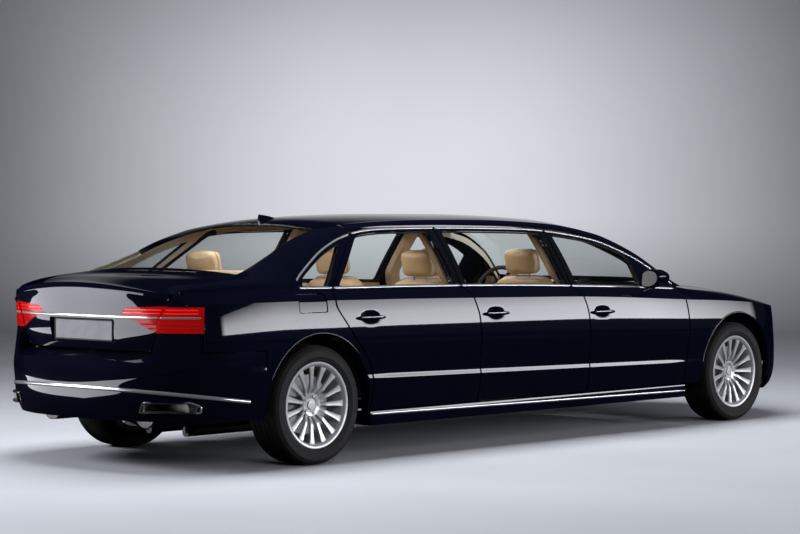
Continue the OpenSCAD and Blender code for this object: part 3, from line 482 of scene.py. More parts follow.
def cloudy(mat, scale, lo, hi, **inputs):
    """Lets slow noise vary the roughness."""
    spread(mat, texture(mat, "noise", scale, **inputs).outputs["Fac"], lo, hi, "Roughness")


def lit(mat, colour, strength):
    """Adds a glow of its own to a finish."""
    p = mat.node_tree.nodes["Principled BSDF"]
    p.inputs["Emission Color"].default_value = (*colour, 1)
    p.inputs["Emission Strength"].default_value = strength


def raise_by(mat, value, strength, distance):
    nt = mat.node_tree
    node = nt.nodes.new("ShaderNodeBump")
    node.inputs["Strength"].default_value, node.inputs["Distance"].default_value = strength, distance
    nt.links.new(value, node.inputs["Height"])
    nt.links.new(node.outputs["Normal"], nt.nodes["Principled BSDF"].inputs["Normal"])


def metallic_paint(name, dark, light):
    """Clear-coated paint with fine flakes and a slightly uneven gloss."""
    mat = finish(name, dark, 0.32, 0.1, 1.0, 1.5, 0.0)
    flakes = texture(mat, "cells", 1400)
    ramp(mat, flakes.outputs["Color"], [(0.0, dark), (0.75, dark), (1.0, light)], "Base Color")
    cloudy(mat, 3.0, 0.24, 0.34, Detail=4.0)
    return mat


def grained(name, colour, shade, rough, scale, depth, **more):
    """Leather or moulded plastic: cells for the grain, slow noise for the colour."""
    mat = finish(name, colour, rough, **more)
    raise_by(mat, texture(mat, "cells", scale).outputs["Distance"], 0.35, depth)
    slow = texture(mat, "noise", 9.0, Detail=6.0)
    ramp(mat, slow.outputs["Fac"], [(0.3, shade), (0.7, colour)], "Base Color")
    cloudy(mat, 30.0, rough - 0.08, rough + 0.08, Detail=3.0)
    return mat


def woven(name, colour, shade, scale):
    mat = finish(name, colour, 0.9, sheen=0.3, spec=0.2)
    tex = texture(mat, "noise", scale, Detail=8.0)
    ramp(mat, tex.outputs["Fac"], [(0.3, shade), (0.7, colour)], "Base Color")
    raise_by(mat, tex.outputs["Fac"], 0.5, 0.0015)
    return mat


def bright(name, colour, rough, scale=18.0, metal=1.0):
    """Polished or brushed metal with a faint cloudiness."""
    mat = finish(name, colour, rough, metal)
    cloudy(mat, scale, rough * 0.7, rough * 1.4, Detail=5.0)
    return mat


def window_glass(name, tint):
    """Thin pane: clear straight through, mirror-like at a shallow angle."""
    mat = bpy.data.materials.new(name)
    mat.use_nodes = True
    nt = mat.node_tree
    nt.nodes.remove(nt.nodes["Principled BSDF"])
    clear = nt.nodes.new("ShaderNodeBsdfTransparent")
    clear.inputs["Color"].default_value = (*tint, 1)
    gloss = nt.nodes.new("ShaderNodeBsdfGlossy")
    gloss.inputs["Color"].default_value = (0.9, 0.93, 0.95, 1)
    gloss.inputs["Roughness"].default_value = 0.01
    view, face = nt.nodes.new("ShaderNodeLayerWeight"), nt.nodes.new("ShaderNodeNewGeometry")
    view.inputs["Blend"].default_value = 0.5
    kinds = ("POWER", "MULTIPLY_ADD", "SUBTRACT", "MULTIPLY")
    curve_up, gain, front, lean = steps = [nt.nodes.new("ShaderNodeMath") for _ in kinds]
    for step, kind in zip(steps, kinds):
        step.operation = kind
    curve_up.inputs[1].default_value = 5.0
    gain.inputs[1].default_value, gain.inputs[2].default_value = 0.9, 0.045
    front.inputs[0].default_value = 1.0
    nt.links.new(view.outputs["Facing"], curve_up.inputs[0])
    nt.links.new(curve_up.outputs["Value"], gain.inputs[0])
    nt.links.new(face.outputs["Backfacing"], front.inputs[1])
    nt.links.new(gain.outputs["Value"], lean.inputs[0])
    nt.links.new(front.outputs["Value"], lean.inputs[1])
    blend = nt.nodes.new("ShaderNodeMixShader")
    nt.links.new(lean.outputs["Value"], blend.inputs["Fac"])
    nt.links.new(clear.outputs["BSDF"], blend.inputs[1])
    nt.links.new(gloss.outputs["BSDF"], blend.inputs[2])
    nt.links.new(blend.outputs["Shader"], nt.nodes["Material Output"].inputs["Surface"])
    return mat


NIGHT_BLUE = metallic_paint("night_blue_paint", (0.0022, 0.0030, 0.0105), (0.010, 0.014, 0.045))
CHROME = bright("trim_chrome", (0.82, 0.83, 0.85), 0.1, 18.0, 0.7)
ALLOY = finish("silver_alloy", (0.74, 0.75, 0.77), 0.36, 0.45, 0.4)
cloudy(ALLOY, 40.0, 0.3, 0.42, Detail=5.0)
STEEL = bright("brake_steel", (0.42, 0.42, 0.43), 0.35, 60.0)
GLOSS_BLACK = finish("gloss_black", (0.006, 0.006, 0.007), 0.12, 0.0, 1.0)
cloudy(GLOSS_BLACK, 5.0, 0.08, 0.16)
SEAL = grained("seal_rubber", (0.012, 0.012, 0.012), (0.006, 0.006, 0.006), 0.6, 900.0, 0.0002)
RUBBER = grained("tyre_rubber", (0.020, 0.020, 0.021), (0.012, 0.012, 0.012), 0.72, 260.0, 0.0006)
DARK_TRIM = grained("dark_trim", (0.022, 0.021, 0.021), (0.014, 0.013, 0.013), 0.5, 420.0, 0.0005)
BEIGE = grained("beige_leather", (0.60, 0.43, 0.26), (0.52, 0.36, 0.21), 0.42, 330.0, 0.0007, coat=0.05)
SEAM = grained("seam_thread", (0.42, 0.29, 0.17), (0.36, 0.25, 0.14), 0.7, 900.0, 0.0004)
BEIGE_TRIM = grained("beige_trim", (0.52, 0.38, 0.24), (0.46, 0.33, 0.20), 0.6, 260.0, 0.0006)
CARPET = woven("deep_carpet", (0.30, 0.22, 0.14), (0.20, 0.15, 0.09), 700.0)
LINER = woven("head_liner", (0.62, 0.57, 0.48), (0.54, 0.49, 0.41), 900.0)
WALNUT = finish("walnut_inlay", (0.10, 0.045, 0.018), 0.3, coat=0.6)
ramp(WALNUT, texture(WALNUT, "noise", 14.0, (0.25, 4.0, 4.0), Detail=8.0).outputs["Fac"],
     [(0.3, (0.035, 0.014, 0.006)), (0.55, (0.12, 0.052, 0.02)), (0.75, (0.18, 0.085, 0.035))], "Base Color")
UNDERBODY = grained("underbody", (0.03, 0.03, 0.032), (0.018, 0.018, 0.02), 0.75, 120.0, 0.001)
CASTING = grained("cast_metal", (0.20, 0.20, 0.21), (0.13, 0.13, 0.135), 0.55, 200.0, 0.0008, metal=0.8)
EXHAUST = bright("exhaust_steel", (0.20, 0.19, 0.18), 0.4, 25.0)
PANE_GLASS = window_glass("pane_glass", (0.95, 0.965, 0.96))
LENS = window_glass("clear_lens", (0.95, 0.96, 0.97))
RED_LENS = finish("red_lens", (0.26, 0.004, 0.006), 0.15, 0.0, 0.2, 1.5, 0.15)
ramp(RED_LENS, texture(RED_LENS, "noise", 60.0, (1, 1, 6)).outputs["Fac"],
     [(0.3, (0.30, 0.003, 0.005)), (0.7, (0.50, 0.007, 0.009))], "Base Color")
lit(RED_LENS, (0.6, 0.006, 0.006), 0.22)
RED_GLOW = finish("red_bars", (0.75, 0.02, 0.015), 0.2, coat=1.0)
lit(RED_GLOW, (0.8, 0.012, 0.01), 0.6)
cloudy(RED_GLOW, 90.0, 0.14, 0.26)
SILVER_INSIDE = bright("lamp_reflector", (0.75, 0.76, 0.78), 0.15, 50.0)
# Mirror glass is only partly metallic: its grey-blue base colour is a painted reflection of the surroundings
# behind the car.
MIRROR_PAINTED_REFLECTION = finish("mirror_glass_painted_reflection", (0.40, 0.42, 0.47), 0.12, 0.35, 0.5)
cloudy(MIRROR_PAINTED_REFLECTION, 25.0, 0.08, 0.16)
PLATE_BLANK = finish("blank_plate", (0.30, 0.31, 0.33), 0.4, coat=0.3)
ramp(PLATE_BLANK, texture(PLATE_BLANK, "noise", 12.0).outputs["Fac"],
     [(0.3, (0.27, 0.28, 0.30)), (0.7, (0.33, 0.34, 0.36))], "Base Color")


# repeating parts: one proto shape set round the y axis or along a line
def repeat_tree(name, turning):
    """Sets a shape Count times round the y axis, or in a row by Step."""
    tree = bpy.data.node_groups.new(name, "GeometryNodeTree")
    sockets = (("Geometry", "Geometry"), ("Count", "Int"), ("Step", "Vector"), ("Finish", "Material"))
    for label, kind in sockets:
        tree.interface.new_socket(label, in_out="INPUT", socket_type=f"NodeSocket{kind}")
    tree.interface.new_socket("Geometry", in_out="OUTPUT", socket_type="NodeSocketGeometry")
    new, wire = tree.nodes.new, tree.links.new
    gin, gout = new("NodeGroupInput"), new("NodeGroupOutput")
    row = new("GeometryNodeMeshLine")
    row.mode = "OFFSET"
    wire(gin.outputs["Count"], row.inputs["Count"])
    put = new("GeometryNodeInstanceOnPoints")
    wire(row.outputs["Mesh"], put.inputs["Points"])
    wire(gin.outputs["Geometry"], put.inputs["Instance"])
    if turning:
        index, angle = new("GeometryNodeInputIndex"), new("ShaderNodeCombineXYZ")
        share, turn = new("ShaderNodeMath"), new("ShaderNodeMath")
        share.operation, turn.operation = "DIVIDE", "MULTIPLY"
        turn.inputs[1].default_value = 2 * math.pi
        row.inputs["Offset"].default_value = (0, 0, 0)
        wire(index.outputs["Index"], share.inputs[0])
        wire(gin.outputs["Count"], share.inputs[1])
        wire(share.outputs["Value"], turn.inputs[0])
        wire(turn.outputs["Value"], angle.inputs["Y"])
        wire(angle.outputs["Vector"], put.inputs["Rotation"])
    else:
        wire(gin.outputs["Step"], row.inputs["Offset"])
    real, dress = new("GeometryNodeRealizeInstances"), new("GeometryNodeSetMaterial")
    wire(put.outputs["Instances"], real.inputs["Geometry"])
    wire(real.outputs["Geometry"], dress.inputs["Geometry"])
    wire(gin.outputs["Finish"], dress.inputs["Material"])
    wire(dress.outputs["Geometry"], gout.inputs["Geometry"])
    return tree


ROUND_TREE = repeat_tree("set_round_the_axle", True)
ROW_TREE = repeat_tree("set_in_a_row", False)


def repeat(ob, count, mat, step=None, angle=32):
    """Runs a repeating tree on a proto shape and keeps the result as a plain mesh."""
    mod = ob.modifiers.new("repeat", "NODES")
    tree = ROUND_TREE if step is None else ROW_TREE
    mod.node_group = tree
    ids = {s.name: s.identifier for s in tree.interface.items_tree if s.in_out == "INPUT"}
    mod[ids["Count"]] = count
    mod[ids["Step"]] = [v * MM for v in (step or (0, 0, 0))]
    mod[ids["Finish"]] = mat
    bake(ob)
    ob.data.shade_smooth()
    ob.data.set_sharp_from_angle(angle=math.radians(angle))
    return ob


def shifted(ob, x, y, z, s=1):
    """Moves a shape built about the origin to its place in mm; s = -1 mirrors it across the car first."""
    mirrored(ob, s)
    ob.data.transform(Matrix.Translation((x * MM, y * MM, z * MM)))
    return ob


# body sides
def spaced(stops):
    """Runs of evenly spaced values: (from, to, steps) in turn, each end once."""
    out = [stops[0][0]]
    for a, b, n in stops:
        out += np.linspace(a, b, n + 1)[1:].tolist()
    return np.array(out)


ROWS = spaced([(0, 0.03, 1), (0.03, 1, 9), (1, 2, 9), (2, 5, 34), (5, 7, 10), (7, 10.97, 26), (10.97, 11, 1)])
COLS = spaced([(0, 0.003, 1), (0.003, 0.997, 72), (0.997, 1, 1)])
ARC_ROWS = np.linspace(0, 1, 13)[1:]


def rail_arc(x, t, rows):
    """Dome from the top of the openings to the roof's edge, as rows of points."""
    d, y, e = side(x, t), edge_y(x), edge_z(x)
    my, mz = mix(d, y, 0.45) + 5, mix(t, e, 0.55) + 5
    cy, cz = 2 * my - (d + y) / 2, 2 * mz - (t + e) / 2
    return [np.stack([x, bow(d, cy, y, f), bow(t, cz, e, f)], -1) for f in rows]


def dish(x, z):
    """Hollow behind the door handles."""
    deep = 0
    for hx, hz in HANDLES:
        deep = deep + 13 * np.maximum(1 - ((x - hx) / 92) ** 2 - ((z - hz) / 36) ** 2, 0) ** 1.4
    return deep


def lapped(x, z):
    """How far the inner edge of a door lies ahead of the outer one."""
    return LAP * (side(x, z) - lining(x, z)) / WALL


def door_grids(a):
    s, u = np.meshgrid(ROWS, COLS, indexing="ij")
    x = mix(meet(a, s) + DOOR_GAP / 2, meet(a + 1, s) - DOOR_GAP / 2, u)
    z = row_z(x, s)
    outer = np.stack([x, skin(x, z) - dish(x, z), z], -1)
    inner = np.stack([x + lapped(x, z), lining(x, z), z], -1)
    inward = np.zeros_like(outer)
    inward[..., 1] = -1
    return rolled(outer, inward), inner


def window_edges(w, m=0.0):
    x0, x1, x2, x3 = WINDOWS[w]
    lo, hi = np.linspace(x0 + m, x3 - m, 40), np.linspace(x2 - m, x1 + m, 40)
    bottom = np.stack([lo, belt(lo) + 12 + m], 1)
    head = np.stack([hi, opening(hi) - 28 - m], 1)
    return [bottom, np.array([bottom[-1], head[0]]), head, np.array([head[-1], bottom[0]])]


def hinge_at(b):
    x = float(curve(SPLIT, b, 690.0)) - DOOR_GAP / 2 - 80
    return x, float(plan(x)) - 22


# hinge heights and pin radius, heights where frame covers end, window corners, reach of cuts through a side
HINGE_Z, PIN_R = (560, 820), 6
COVER_Z = (1060, 1390)
WINDOW_R = 26
CUT_Y = (300, 1100)


def side_pane(name, x0, x1, edges, r):
    """Curved pane set 14 mm inside the side, cut to an outline."""
    s, u = np.meshgrid(np.linspace(0, 1, 25), np.linspace(0, 1, 50), indexing="ij")
    x = mix(x0, x1, u)
    b, t = belt(x) - 20, opening(x) + 20
    z = mix(b, t, s)
    a = np.stack([x, side(x, z) - 14, z], -1)
    ob = plate(name, a, a - np.array([0, PANE, 0]))
    return carve(ob, [prism(outline(edges, r), "y", *CUT_Y)], "INTERSECT")


def seal_round(name, edges, r, width=9, height=5, sink=9):
    pts = np.array(outline(edges, r))
    p, n = on_side(pts[:, 0], pts[:, 1], -sink, side)
    return strip(name, p, n, width, height, True)


def pillar_cover(name, a, b):
    """Gloss black cover on a door frame between two slanted edges, given at the belt and at the top."""
    s, u = np.meshgrid(np.linspace(0, 1, 24), np.linspace(0, 1, 8), indexing="ij")
    x = mix(mix(a[0], a[1], s), mix(b[0], b[1], s), u)
    z = mix(belt(x) + 14, opening(x) - 20, s)
    p, n = on_side(x, z, 1.6, side)
    return plate(name, p, p - n * 4)


def split_at(k, z):
    return float(curve(SPLIT, k, float(z)))


def door_shell(w, body, name, s):
    """Skin of a door with its window cut out, room for the hinges and their pins."""
    ob = plate(name, *door_grids(w + 1), 28)
    hx, hy = hinge_at(w + 2)
    tools = [prism(outline(window_edges(w), WINDOW_R), "y", *CUT_Y)]
    tools += [crate((hx - 16, hy - 130, hz - 30), (hx + 114, hy + 6, hz + 30)) for hz in HINGE_Z]
    carve(ob, tools, angle=28)
    pins = [paint_on(prism(disc(hx, hy, PIN_R, 20), "z", hz - 42, hz + 42), STEEL) for hz in HINGE_Z]
    fit(mirrored(join(name, [paint_on(ob, NIGHT_BLUE)] + pins), s), None, body, "paint", body)


def door_glass(w, door, body, tag, s):
    """Pane with its seal, and black covers on the frame beside it."""
    x0, x1, x2, x3 = WINDOWS[w]
    pane = side_pane(f"{door}_glass_{tag}", x0 - 30, x2 + 40, window_edges(w, 0.4), WINDOW_R)
    fit(mirrored(pane, s), PANE_GLASS, body, "glass", f"{door}_pane_{tag}")
    seal = seal_round(f"{door}_glass_seal_{tag}", window_edges(w, 1), WINDOW_R)
    fit(mirrored(seal, s), SEAL, body, "dark_trim")
    if w < 2:
        fore = [split_at(w + 2, z) - DOOR_GAP for z in COVER_Z]
        cover = pillar_cover(f"{door}_frame_fore_{tag}", (x2 + 6, x3 + 6), fore)
        fit(mirrored(cover, s), GLOSS_BLACK, body, "dark_trim")
    if w > 0:
        back = [split_at(w + 1, z) + DOOR_GAP for z in COVER_Z]
        cover = pillar_cover(f"{door}_frame_back_{tag}", back, (x0 - 6, x1 - 6))
        fit(mirrored(cover, s), GLOSS_BLACK, body, "dark_trim")


def bright_lines(name, body, s, head, foot, above=-math.inf):
    """Bright strips along the head of the side windows, kept above the belt, and along the belt."""
    xs = np.linspace(*head)
    p, n = on_side(xs, np.maximum(opening(xs) - 8, belt(xs) + above), 0.5, side)
    lines = [strip("head", p, n, 13, 4)]
    xs = np.linspace(*foot)
    p, n = on_side(xs, belt(xs) + 4, 0.5, side)
    lines.append(strip("belt", p, n, 14, 4))
    fit(mirrored(join(name, [paint_on(o, CHROME) for o in lines]), s), None, body, "wheel_alloy")


def door_handle(name, body, at, s):
    """A tapered bow on two feet, with a bright strip."""
    gx, gz = at
    gy = float(skin(gx, gz))
    along = np.linspace(-1, 1, 25)
    rings = []
    for v in along:
        high = 12.5 * (1 - 0.45 * abs(v) ** 4)
        rings.append([(gx + 106 * v, gy + 26 - 9 * abs(v) ** 3 + 6.5 * math.cos(q), gz + high * math.sin(q))
                      for q in around(14)])
    parts = [paint_on(tube("bar", rings), NIGHT_BLUE)]
    for fx in (-84, 84):
        foot = [[(gx + fx + 10 * math.cos(q), gy - 12 + d, gz + 9 * math.sin(q)) for q in around(12)]
                for d in (0, 30)]
        parts.append(paint_on(tube("foot", foot), GLOSS_BLACK))
    line = [(gx + 100 * v, gy + 32 - 9 * abs(v) ** 3, gz + 5) for v in along]
    parts.append(paint_on(strip("gleam", line, [(0, 1, 0.35)] * len(line), 5, 2), CHROME))
    fit(mirrored(join(name, parts), s), None, body, "paint")


for w, door in enumerate(DOORS):
    for tag, s in SIDES:
        body = f"{door}_door_{tag}"
        door_shell(w, body, f"{door}_door_skin_{tag}", s)
        door_glass(w, door, body, tag, s)
        head = (split_at(w + 1, 1395) + DOOR_GAP if w else -1500,
                split_at(w + 2, 1395) - DOOR_GAP if w < 2 else 1500, 60)
        foot = (split_at(w + 1, 1048) + DOOR_GAP, split_at(w + 2, 1048) - DOOR_GAP if w < 2 else 1500, 60)
        bright_lines(f"{door}_bright_lines_{tag}", body, s, head, foot)
        door_handle(f"{door}_handle_{tag}", body, HANDLES[w], s)


def lined(ob, mat, low):
    """Gives the faces that look into the cabin, above a height, a lining."""
    ob.data.materials.append(mat)
    for f in ob.data.polygons:
        c, n = f.center, f.normal
        inward = Vector((0, -c.y, 1.05 - c.z)).normalized()
        if c.z > low * MM and -2.5 < c.x < 1.5 and n.dot(inward) > 0.45:
            f.material_index = len(ob.data.materials) - 1
    return ob


# rear quarters: one surface from the sill to the roof's edge
JOIN_X, QUARTER_END = -1522.3, -2945
BACK_TOP = mix(QUARTER_END, JOIN_X, 14 / 16)
BACK_FOOT = mix(QUARTER_END, JOIN_X, 5 / 16)


def quarter_grids():
    cols = spaced([(0, 0.003, 1), (0.003, 0.997, 110), (0.997, 1, 1)])
    s, u = np.meshgrid(ROWS, cols, indexing="ij")
    xl = meet(1, s) - DOOR_GAP / 2
    xl = np.where(s > 10.5, np.minimum(xl, JOIN_X), xl)
    xl = np.where(s > 10.99, JOIN_X, xl)
    x = mix(QUARTER_END, xl, u)
    z = row_z(x, s)
    outer = np.stack([x, skin(x, z), z], -1)
    thin = np.clip((-2780 - x) / 100, 0, 1)
    inner = np.stack([x + lapped(x, z) * u * (s < 10.5), mix(lining(x, z), side(x, z) - 14, thin), z], -1)
    xt = mix(QUARTER_END, JOIN_X, cols)
    t = opening(xt)
    arc = np.stack(rail_arc(xt, t, ARC_ROWS))
    flange = np.interp(xt, [BACK_FOOT - 90, BACK_FOOT], [-2, 25])
    e = np.stack([xt, edge_y(xt) - flange, edge_z(xt) - 27], -1)
    base = np.stack([xt, inner[-1, :, 1], t], -1)
    under = np.stack([mix(base, e, f) for f in ARC_ROWS])
    outer, inner = np.concatenate([outer, arc]), np.concatenate([inner, under])
    inward = np.zeros_like(outer)
    inward[..., 1] = -1
    inward[-1] = 0
    return rolled(outer, inward), inner


def quarter_edges(m=0.0):
    lo, hi = np.linspace(-2120 + m, -1908 - m, 24), np.linspace(-1640 - m, -2090 + m, 30)
    bottom = np.stack([lo, belt(lo) + 12 + m], 1)
    head = np.stack([hi, np.maximum(opening(hi) - 30 - m, belt(hi) + 16 + m)], 1)
    return [bottom, np.array([bottom[-1], head[0]]), head, np.array([head[-1], bottom[0]])]


FLAP = (-2210, -1990, 908, 1012)


def flap_outline(m):
    x0, x1, z0, z1 = FLAP[0] - m, FLAP[1] + 2 * m, FLAP[2] - m, FLAP[3] + m
    return box_outline(x0, x1, z0, z1, 14)


def arch_lip(name, x, s, r=ARCH_R):
    """Rolled lip round a wheel arch."""
    a = np.linspace(math.radians(-6), math.radians(186), 72)
    px, pz = x + (r + 3) * np.cos(a), TYRE_R + (r + 3) * np.sin(a)
    p, n = on_side(px, pz, -1.5)
    return mirrored(strip(name, p, n, 14, 5, False, 0.6), s)


for tag, s in SIDES:
    ob = plate(f"quarter_skin_{tag}", *quarter_grids(), 28)
    tools = [prism(outline(quarter_edges(), 12), "y", *CUT_Y),
             prism(disc(AXLE_R, TYRE_R, ARCH_R), "y", 600, 1100),
             crate((-3300, 300, 100), (-2480, 1200, 700)), crate((-3300, 300, 600), (-2870, 1200, 962))]
    if s < 0:
        tools.append(prism(flap_outline(5), "y", float(plan(-2100)) - 80, 1100))
    carve(ob, tools, angle=28)
    lined(fit(mirrored(ob, s), NIGHT_BLUE, "body", "paint", "quarter_panels"), LINER, 900)
    pane = side_pane(f"quarter_glass_{tag}", -2180, -1560, quarter_edges(0.4), 12)
    fit(mirrored(pane, s), PANE_GLASS, "body", "glass", "fixed_glass")
    fit(mirrored(seal_round(f"quarter_glass_seal_{tag}", quarter_edges(1), 12), s), SEAL, "body", "dark_trim")
    bright_lines(f"quarter_bright_lines_{tag}", "body", s,
                 (-2150, JOIN_X - 4, 70), (-2150, split_at(1, 1048) - DOOR_GAP, 24), 8)
    fit(arch_lip(f"rear_arch_lip_{tag}", AXLE_R, s), NIGHT_BLUE, "body", "paint")

# filler flap
z, x = np.meshgrid(np.linspace(FLAP[2] - 4, FLAP[3] + 4, 26), np.linspace(FLAP[0] - 10, FLAP[1] + 10, 40),
                   indexing="ij")
face = np.stack([x, skin(x, z), z], -1)
flap = plate("filler_flap", face, face - np.array([0, 6, 0]))
carve(flap, [prism(flap_outline(0), "y", 700, 1100)], "INTERSECT", 28)
fit(mirrored(flap, -1), NIGHT_BLUE, "fuel_flap", "paint", "fuel_flap")


# roof rails, posts and sills
def rail_rings(xs):
    t = opening(xs) + DOOR_GAP + 2
    arc = np.stack(rail_arc(xs, t, np.linspace(0, 1, 14)), 1)
    d, y, z, q = side(xs, t), edge_y(xs), edge_z(xs), t - 28
    back = np.stack([np.stack([xs, y - 25, z - 27], -1), np.stack([xs, np.minimum(y - 40, d - 95), q], -1),
                     np.stack([xs, d - 78, q], -1), np.stack([xs, d - 78, t], -1)], 1)
    return np.concatenate([arc, back], 1)


def post_rings(xb, xt, w, z_top):
    zs = np.linspace(340, z_top, 40)
    x = mix(xb, xt, np.clip((zs - 980) / 100, 0, 1))
    y = np.minimum(plan(x) - 150, side(x, np.minimum(zs, opening(x))) - FRAME_WALL - 34)
    return [[(a - w / 2, b, c), (a + w / 2, b, c), (a + w / 2 - 8, b - 45, c), (a - w / 2 + 8, b - 45, c)]
            for a, b, c in zip(x, y, zs)]


SILL = [(928, 206), (934, 230), (934, 262), (930, 290), (824, 290), (824, 360), (762, 360), (762, 206)]
for tag, s in SIDES:
    rail = tube(f"roof_rail_{tag}", list(rail_rings(np.linspace(-1522, 1590, 130))), 30)
    lined(fit(mirrored(rail, s), NIGHT_BLUE, "body", "paint", "side_frames"), LINER, 1000)
    sill = tube(f"sill_{tag}", [[(x, y, z) for y, z in SILL] for x in np.linspace(-1594.5, 1580, 30)], 30)
    fit(mirrored(sill, s), NIGHT_BLUE, "body", "paint", "side_frames")
    posts = []
    for xb, xt, zt in ((-660, -730, opening(-730) - 4), (440, 370, opening(370) - 4), (1490, 1450, 1030)):
        posts.append(paint_on(tube("post", post_rings(xb, xt, 110, zt)), BEIGE_TRIM))
    for b in (2, 3, 4):
        hx, hy = hinge_at(b)
        for hz in HINGE_Z:
            posts.append(paint_on(prism(disc(hx, hy, 10, 24), "z", hz - 20, hz + 20), STEEL))
            posts.append(paint_on(crate((hx - 7, hy - 138, hz - 20), (hx + 7, hy - 6, hz + 20)), STEEL))
    fit(mirrored(join(f"door_posts_{tag}", posts), s), None, "body", "paint", "side_frames")
    # bright strip low on the sill
    xs = np.linspace(-1590, 1570, 50)
    p = np.stack([xs, 935 + 0 * xs, mix(278, 250, (xs + 1610) / 3180)], 1)
    line = strip(f"sill_strip_{tag}", p, [(0, 1, 0)] * len(xs), 16, 6)
    fit(mirrored(line, s), CHROME, "body", "wheel_alloy")

# roof with headlining, screens
ACROSS = np.linspace(-1, 1, 61)


def roof_points(xs, drop, inset=0.5):
    x, c = np.meshgrid(xs, ACROSS, indexing="ij")
    e = edge_y(x) - inset
    return np.stack([x, c * (e - drop * 25 / 27), top(x, c * e) - drop], -1)


ROOF_X = np.linspace(BACK_TOP, 740, 120)
LINER_X = np.linspace(-1600, 700, 60)
roof = plate("roof_skin", roof_points(ROOF_X, 0), roof_points(ROOF_X, 22))
lined(fit(roof, NIGHT_BLUE, "body", "paint", "roof"), LINER, 1200)
head_lining = plate("head_lining", roof_points(LINER_X, 24, 4), roof_points(LINER_X, 30, 4))
fit(head_lining, LINER, "body", "shelf_trim")


def screen_points(drop):
    v, c = np.meshgrid(np.linspace(0, 1, 60), ACROSS, indexing="ij")
    x = mix(740.5, 1590 + 200 * (1 - c * c), v)
    e = edge_y(mix(740, 1590, v)) - 0.5
    return np.stack([x, c * (e - drop * 25 / 27), top(x, c * e) - drop], -1)


def window_base(c):
    return BACK_FOOT - 45 * (1 - c * c)


def back_points(drop):
    v, c = np.meshgrid(np.linspace(0, 1, 60), ACROSS, indexing="ij")
    x = mix(BACK_TOP - 0.5, window_base(c), v)
    e = edge_y(mix(BACK_TOP, BACK_FOOT, v)) - 0.5
    return np.stack([x, c * (e - drop * 25 / 27), top(x, c * e) - drop], -1)


def frit(name, points, widths):
    """Black band printed round a screen, just inside the glass; widths: top, bottom, sides as shares."""
    t, b, w = widths
    m, n = points.shape[:2]
    inner = points - np.array([0, 0, PANE + 1.0])
    faces = []
    for i in range(m - 1):
        for j in range(n - 1):
            v, c = (i + 0.5) / (m - 1), abs((j + 0.5) / (n - 1) * 2 - 1)
            if v < t or v > 1 - b or c > 1 - w:
                faces.append((i * n + j, i * n + j + 1, (i + 1) * n + j + 1, (i + 1) * n + j))
    inner = inner.reshape(-1, 3)
    both = faces + [tuple(q + len(inner) for q in f[::-1]) for f in faces]
    ob = shape(name, np.concatenate([inner, inner - np.array([0, 0, 1.5])]), both)
    bm = bmesh.new()
    bm.from_mesh(ob.data)
    bmesh.ops.delete(bm, geom=[v for v in bm.verts if not v.link_faces], context="VERTS")
    bm.to_mesh(ob.data)
    bm.free()
    return ob


fit(plate("windscreen", screen_points(0), screen_points(PANE)), PANE_GLASS, "body", "glass", "fixed_glass")
fit(plate("rear_window", back_points(0), back_points(PANE)), PANE_GLASS, "body", "glass", "fixed_glass")
fit(frit("windscreen_band", screen_points(0), (0.05, 0.09, 0.05)), GLOSS_BLACK, "body", "dark_trim")
fit(frit("rear_window_band", back_points(0), (0.05, 0.05, 0.045)), GLOSS_BLACK, "body", "dark_trim")

# aerial fin
fin = []
for k, x in enumerate(np.linspace(-1650, -1500, 16)):
    u = k / 15
    base = float(top(x, 0.0)) - 4
    tip = base + max(46 * (1 - u) ** 0.8, 1.5)
    half = [(7.5 * (1 - 0.5 * u), base), (3.0 * (1 - u) + 0.6, mix(base, tip, 0.7))]
    fin.append([(x, y, z) for y, z in half + [(0, tip)] + [(-y, z) for y, z in half[::-1]]])
fit(tube("aerial_fin", fin), NIGHT_BLUE, "body", "paint")


# bonnet, wings and nose
FASCIA_X, WING_END = 2684, 2680
FRONT_ROWS = np.array([[205, 790, 880], [250, 850, 905], [340, 874, 930], [450, 880, 935], [560, 878, 934],
                       [660, 866, 928], [730, 840, 918], [785, 790, 900]], float)
GRILLE = [(-330, 470), (330, 470), (360, 560), (340, 740), (-340, 740), (-360, 560)]
LAMP = [(470, 660), (960, 640), (960, 752), (520, 740)]
INTAKE = [(-560, 270), (560, 270), (600, 380), (-600, 380)]


def bonnet_rear(c):
    return 1755 + 95 * (1 - c * c)


def bonnet_front(c):
    return NOSE_X + 755 * oval(0.73 * np.abs(c), 2.55)


def bonnet_z(x, c):
    return mix(curve(BONNET, 1, x), curve(BONNET, 2, x), c * c)


def bonnet_points(drop):
    v, c = np.meshgrid(spaced([(0, 0.006, 1), (0.006, 0.994, 60), (0.994, 1, 1)]),
                       spaced([(-1, -0.996, 1), (-0.996, 0.996, 80), (0.996, 1, 1)]), indexing="ij")
    x = mix(bonnet_rear(c), bonnet_front(c), v)
    w = curve(BONNET, 3, x) - 3
    rib = 5 * np.exp(-((np.abs(c) - 0.62) / 0.07) ** 2) * np.sin(math.pi * np.clip(v, 0, 1)) ** 0.6
    return np.stack([x, c * (w - drop * 0.3), bonnet_z(x, c) - drop + rib], -1)


DOWN = np.array([0, 0, -1.0])
hood = bonnet_points(0)
hood = rolled(hood, np.broadcast_to(DOWN, hood.shape))
hood = paint_on(plate("hood_skin", hood, bonnet_points(26), 28), NIGHT_BLUE)
lugs = []
for _, s in SIDES:
    lug = [(1688 + px, 883 + pz) for px, pz in ((0, 0), (24, 0), (160, 50), (160, 74), (112, 74), (0, 24))]
    lugs.append(paint_on(mirrored(prism(lug, "y", 610, 624), s), CASTING))
fit(join("hood_skin", [hood] + lugs), None, "hood", "paint", "hood")


